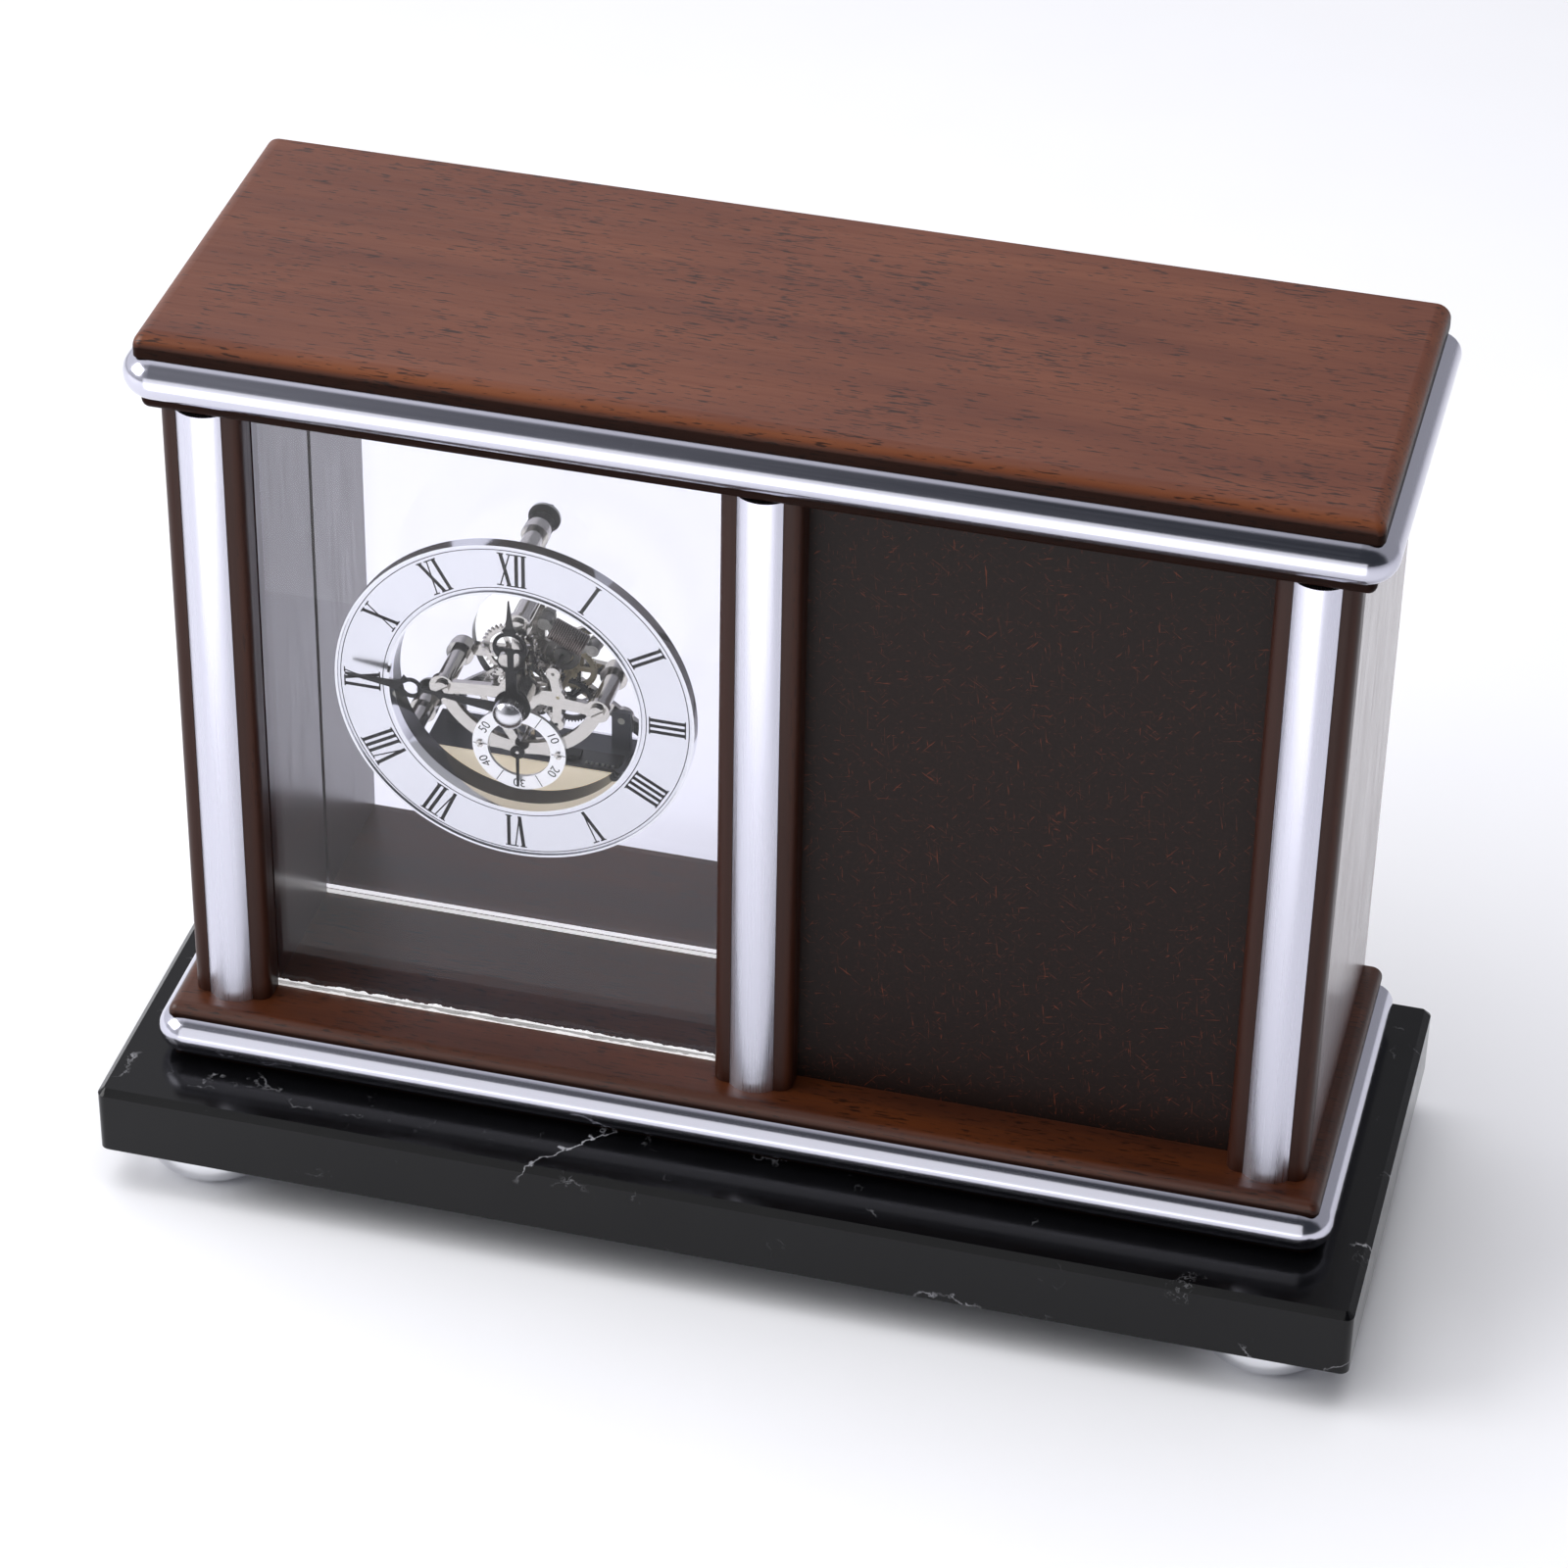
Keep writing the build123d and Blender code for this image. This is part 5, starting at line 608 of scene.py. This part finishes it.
# Seconds dial: a white lacquered ring on two small screws, printed with numbers along the radii.
# A tick crosses the ring between each two numbers. The finish is partly metallic, so that it looks as
# white as in the photograph.
dress(
    moulded("white_lacquer", "#f8f8fa", "#fefefe", grain_mm=1.5, roughness=0.3, metallic=0.85),
    "seconds_dial")
sub_low, sub_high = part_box("seconds_dial")
SUB_AT = Vector(((sub_low.x + sub_high.x) / 2, sub_low.y, (sub_low.z + sub_high.z) / 2))
SUB_OUTER = (sub_high.x - sub_low.x) / 2
SUB_WIDTH = 4.0 * MM
TICK_WIDTH = 0.22 * MM
TICK_LENGTH = 0.92 * SUB_WIDTH
NUMBER_SIZE = 3.4 * MM


def printed_number(mesh, text, matrix):
    """A number in plain type, made a thin mesh and set in place."""
    type_face = bpy.data.curves.new(text, "FONT")
    type_face.body = text
    type_face.size = NUMBER_SIZE
    type_face.align_x = "CENTER"
    type_face.align_y = "CENTER"
    type_face.extrude = INK / 2
    typeset = bpy.data.objects.new(text, type_face)
    flat = bpy.data.meshes.new_from_object(typeset)
    flat.transform(matrix)
    mesh.from_mesh(flat)
    bpy.data.objects.remove(typeset)
    bpy.data.curves.remove(type_face)
    bpy.data.meshes.remove(flat)


mesh = bmesh.new()
for step in range(6):
    for offset in (0, 5):
        turn = Matrix.Translation(SUB_AT) @ Matrix.Rotation(radians(6 * (10 * step + offset)), 4, "Y")
        out = turn @ Matrix.Translation((0.0, 0.0, SUB_OUTER - SUB_WIDTH / 2))
        if offset:
            bmesh.ops.transform(mesh, verts=stroke(mesh, TICK_WIDTH, TICK_LENGTH, 0.0, 0.0), matrix=out)
        else:
            printed_number(mesh, str(10 * step), out @ Matrix.Rotation(pi / 2, 4, "X"))
add_piece("seconds_printing", mesh, ink, "case")


# Hands: thin steel, pressed out and lacquered satin black.
# The hour and minute hands sit on their pipes, the seconds hand on the end of the fourth arbor.
dress(
    moulded("black_lacquer", "#08080a", "#101013", grain_mm=1.0, roughness=0.35, gloss=0.2),
    "hour_hand", "minute_hand", "seconds_hand")


# Hand nut: a small domed nut, satin chromed, with a knurled edge of fine ridges.
# It is screwed onto the end of the cannon pinion in front of the minute hand; the grooves between its
# ridges are darkened with painted shade.
SATIN_CHROME = "#e9e9ec"
NUT_RADIUS = 4.0 * MM
GROOVE_DEPTH = 0.25 * MM
DOME_DEPTH = 1.7 * MM
finish, tree, shader, place = chrome_plate(
    "satin_chrome", SATIN_CHROME, smudge_mm=2, smoothest=0.2, roughest=0.3)
# painted shade in the grooves between the ridges of the knurl
groove_shade = node(tree, "ShaderNodeMapRange", {
    "Value": from_axis(tree, place, DRUM_AXIS),
    "From Min": NUT_RADIUS - GROOVE_DEPTH, "From Max": NUT_RADIUS, "To Min": 0.8, "To Max": 0.0})
depth = node(tree, "ShaderNodeSeparateXYZ", {"Vector": place}).outputs["Y"]
edge = node(tree, "ShaderNodeMath", {
    0: depth, 1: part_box("hand_nut")[0].y + DOME_DEPTH}, operation="GREATER_THAN")
dark = node(tree, "ShaderNodeMath", {
    0: groove_shade.outputs["Result"], 1: edge.outputs["Value"]}, operation="MULTIPLY")
tone = node(tree, "ShaderNodeMix", {
    0: dark.outputs["Value"], FIRST: colour(SATIN_CHROME), SECOND: colour("#303034")}, data_type="RGBA")
tree.links.new(tone.outputs[MIXED], shader.inputs["Base Color"])
dress(finish, "hand_nut")


# Step motor: stator, posts, core and rotor of plain soft iron, pressed from sheet or turned.
# The bare iron is dull grey and slightly mottled.
finish, tree, shader, place = new_finish("soft_iron")
grain = node(tree, "ShaderNodeTexNoise", {"Vector": place, "Scale": 1 / (1.5 * MM), "Detail": 4.0})
tone = node(tree, "ShaderNodeMix", {
    0: grain.outputs["Fac"], FIRST: colour("#7c7a76"), SECOND: colour("#9c9a95")}, data_type="RGBA")
tree.links.new(tone.outputs[MIXED], shader.inputs["Base Color"])
shader.inputs["Metallic"].default_value = 1.0
shader.inputs["Roughness"].default_value = 0.42
dress(finish, "stator", "stator_posts", "coil_core", "rotor")


# Motor coil: enamelled copper wire wound on the core.
# The wire is 0.1 mm thick and too fine to show, so its turns are drawn 0.6 mm apart.
COIL_PITCH = 0.592 * MM
COIL_TILT = radians(-25)
finish, tree, shader, place = new_finish("enamelled_copper_wire")
tilt = node(tree, "ShaderNodeMapping", {"Vector": place, "Rotation": (0.0, COIL_TILT, 0.0)})
turns = node(tree, "ShaderNodeTexWave", {
    "Vector": tilt.outputs["Vector"], "Scale": WAVES / COIL_PITCH, "Distortion": 0.4}, bands_direction="X")
# painted highlight on each turn and painted shade in the gaps between the turns
tone = node(tree, "ShaderNodeMix", {
    0: turns.outputs["Fac"], FIRST: colour("#2a2220"), SECOND: colour("#8e8079")}, data_type="RGBA")
bump = node(tree, "ShaderNodeBump", {
    "Height": turns.outputs["Fac"], "Strength": 0.5, "Distance": 0.08 * MM})
tree.links.new(tone.outputs[MIXED], shader.inputs["Base Color"])
tree.links.new(bump.outputs["Normal"], shader.inputs["Normal"])
shader.inputs["Metallic"].default_value = 0.4
shader.inputs["Roughness"].default_value = 0.4
dress(finish, "coil_winding")


# Battery holder: a dark grey moulded tray whose front wall is cream, hung on the back plate by two ears.
# The cream wall carries a faint painted glow, an emission that stands in for the light that reaches it
# through the glass.
CREAM_PAINTED_GLOW = 0.45
CREAM_DEPTH = 0.6 * MM
CREAM_FADE = 0.1 * MM
finish, tree, shader, place = new_finish("moulded_holder")
cream_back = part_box("battery_holder")[0].y + CREAM_DEPTH
depth = node(tree, "ShaderNodeSeparateXYZ", {"Vector": place}).outputs["Y"]
front = node(tree, "ShaderNodeMapRange", {
    "Value": depth, "From Min": cream_back, "From Max": cream_back + CREAM_FADE,
    "To Min": 1.0, "To Max": 0.0})
grain = node(tree, "ShaderNodeTexNoise", {"Vector": place, "Scale": 1 / (0.7 * MM), "Detail": 3.0})
grey = node(tree, "ShaderNodeMix", {
    0: grain.outputs["Fac"], FIRST: colour("#43464f"), SECOND: colour("#565964")}, data_type="RGBA")
both = node(tree, "ShaderNodeMix", {
    0: front.outputs["Result"], FIRST: grey.outputs[MIXED], SECOND: colour("#f5e8d0")}, data_type="RGBA")
bump = node(tree, "ShaderNodeBump", {
    "Height": grain.outputs["Fac"], "Strength": 0.12, "Distance": 0.02 * MM})
tree.links.new(both.outputs[MIXED], shader.inputs["Base Color"])
tree.links.new(bump.outputs["Normal"], shader.inputs["Normal"])
tree.links.new(both.outputs[MIXED], shader.inputs["Emission Color"])
# painted glow on the cream front wall
scatter = node(tree, "ShaderNodeMath", {
    0: front.outputs["Result"], 1: CREAM_PAINTED_GLOW}, operation="MULTIPLY")
tree.links.new(scatter.outputs["Value"], shader.inputs["Emission Strength"])
shader.inputs["Roughness"].default_value = 0.38
dress(finish, "battery_holder")


# Circuit board: black solder mask on fibre board, lying on the holder.
# One sealed chip and a row of soldered joints stand on it.
finish, tree, shader, place = new_finish("black_solder_mask")
weave = node(tree, "ShaderNodeTexNoise", {"Vector": place, "Scale": 1 / (0.5 * MM), "Detail": 2.0})
tone = node(tree, "ShaderNodeMix", {
    0: weave.outputs["Fac"], FIRST: colour("#0c0f10"), SECOND: colour("#1a2022")}, data_type="RGBA")
tree.links.new(tone.outputs[MIXED], shader.inputs["Base Color"])
shader.inputs["Roughness"].default_value = 0.35
dress(finish, "circuit_board")
board_low, board_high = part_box("circuit_board")
CHIP = (5.0 * MM, 3.4 * MM, 1.2 * MM)
CHIP_BEVEL = 0.2 * MM
CHIP_FROM_END = 5.0 * MM
SOLDER_RADIUS = 0.45 * MM
SOLDER_FROM_END = 9.5 * MM
SOLDER_FROM_FRONT = 1.2 * MM
SOLDER_PITCH = 1.4 * MM
mesh = bmesh.new()
bmesh.ops.create_cube(mesh, size=1.0, matrix=Matrix.Diagonal(CHIP + (1.0,)))
bmesh.ops.bevel(
    mesh, geom=mesh.edges[:], offset=CHIP_BEVEL, affect="EDGES", segments=2, profile=0.5, material=-1)
bmesh.ops.translate(mesh, verts=mesh.verts, vec=(
    board_low.x + CHIP_FROM_END, (board_low.y + board_high.y) / 2, board_high.z + CHIP[2] / 2))
sealed = moulded("sealed_chip", "#131315", "#1e1e20", grain_mm=0.4, roughness=0.6)
add_piece("board_chip", mesh, sealed, "case")
mesh = bmesh.new()
for joint in range(6):
    bmesh.ops.create_icosphere(
        mesh, subdivisions=2, radius=SOLDER_RADIUS, matrix=Matrix.Translation((
            board_low.x + SOLDER_FROM_END + SOLDER_PITCH * joint, board_low.y + SOLDER_FROM_FRONT,
            board_high.z)))
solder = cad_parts["holder_screws"].material_slots[0].material
add_piece("board_solder", mesh, solder, "case")


# Studio: a white table top that runs on behind, large soft lights, and the camera where the photograph was
# taken. The room is pale behind and on the left and dark in front, where a white card shows in reflections
# alone.
TABLE_HALF = 4.0
mesh = bmesh.new()
bmesh.ops.create_grid(mesh, x_segments=1, y_segments=1, size=TABLE_HALF)
floor_data = bpy.data.meshes.new("table_top")
mesh.to_mesh(floor_data)
mesh.free()
finish, tree, shader, place = new_finish("white_table")
paper = node(tree, "ShaderNodeTexNoise", {"Vector": place, "Scale": 1 / (60 * MM), "Detail": 2.0})
tone = node(tree, "ShaderNodeMix", {
    0: paper.outputs["Fac"], FIRST: colour("#f1f1f4"), SECOND: colour("#f4f4f7")}, data_type="RGBA")
tree.links.new(tone.outputs[MIXED], shader.inputs["Base Color"])
shader.inputs["Roughness"].default_value = 0.8
shader.inputs["Specular IOR Level"].default_value = 0.1
floor_data.materials.append(finish)
floor = bpy.data.objects.new("table_top", floor_data)
bpy.context.scene.collection.objects.link(floor)

world = bpy.data.worlds.new("studio")
bpy.context.scene.world = world
world.use_nodes = True
tree = world.node_tree
tree.nodes.clear()
ray = node(tree, "ShaderNodeTexCoord").outputs["Generated"]
way = node(tree, "ShaderNodeSeparateXYZ", {"Vector": ray})
behind = node(tree, "ShaderNodeMapRange", {
    "Value": way.outputs["Y"], "From Min": -0.28, "From Max": -0.1, "To Min": 0.0, "To Max": 1.0})
fade = node(tree, "ShaderNodeMapRange", {
    "Value": way.outputs["X"], "From Min": -0.3, "From Max": -0.02, "To Min": 1.0, "To Max": 0.4})
wall = node(tree, "ShaderNodeMath", {
    0: behind.outputs["Result"], 1: fade.outputs["Result"]}, operation="MULTIPLY")
leftward = node(tree, "ShaderNodeMapRange", {
    "Value": way.outputs["X"], "From Min": -0.15, "From Max": -0.75, "To Min": 0.0, "To Max": 0.65})
bright = node(tree, "ShaderNodeMath", {
    0: wall.outputs["Value"], 1: leftward.outputs["Result"]}, operation="MAXIMUM")
sky = node(tree, "ShaderNodeMix", {
    0: bright.outputs["Value"], FIRST: colour("#3b3e43"), SECOND: colour("#f8f8ff")}, data_type="RGBA")
glow = node(tree, "ShaderNodeBackground", {"Color": sky.outputs[MIXED], "Strength": 0.95})
node(tree, "ShaderNodeOutputWorld", {"Surface": glow.outputs["Background"]})


def soft_light(name, spot, aim, width, height, power):
    """A flat rectangular light that faces the aimed point."""
    lamp = bpy.data.lights.new(name, "AREA")
    lamp.shape = "RECTANGLE"
    lamp.size = width
    lamp.size_y = height
    lamp.energy = power
    light = bpy.data.objects.new(name, lamp)
    bpy.context.scene.collection.objects.link(light)
    turn = (Vector(aim) - Vector(spot)).to_track_quat("-Z", "Y")
    light.matrix_world = Matrix.Translation(spot) @ turn.to_matrix().to_4x4()
    return light


LOW_ON_CASE = (0.0, 0.0, 0.1)
overhead = soft_light("overhead_softbox", (-0.1, -0.1, 1.5), LOW_ON_CASE, width=1.4, height=1.4, power=19.0)
overhead.visible_glossy = False
soft_light("left_softbox", (-1.3, -0.6, 0.9), LOW_ON_CASE, width=0.9, height=0.9, power=14.0)
card = soft_light(
    "front_card", (-0.03, -0.27, 0.14), (-0.03, 0.0, 0.14), width=0.5, height=0.28, power=0.44)
card.visible_camera = False
card.visible_diffuse = False
card.visible_transmission = False

CAMERA_AT = Vector((255.43 * MM, -1037.24 * MM, 896.52 * MM))
AZIMUTH = radians(13.748)
ELEVATION = radians(36.068)
ROLL = radians(1.12)
LENS = 120.344
SENSOR = 36.0
back = Vector((sin(AZIMUTH) * cos(ELEVATION), -cos(AZIMUTH) * cos(ELEVATION), sin(ELEVATION)))
level = Vector((cos(AZIMUTH), sin(AZIMUTH), 0.0))
upright = back.cross(level)
right = cos(ROLL) * level + sin(ROLL) * upright
up = cos(ROLL) * upright - sin(ROLL) * level
camera_data = bpy.data.cameras.new("photo_camera")
camera_data.sensor_width = SENSOR
camera_data.lens = LENS
camera = bpy.data.objects.new("photo_camera", camera_data)
bpy.context.scene.collection.objects.link(camera)
camera.matrix_world = Matrix.Translation(CAMERA_AT) @ Matrix((right, up, back)).transposed().to_4x4()
bpy.context.scene.camera = camera
bpy.context.scene.view_settings.view_transform = "Standard"
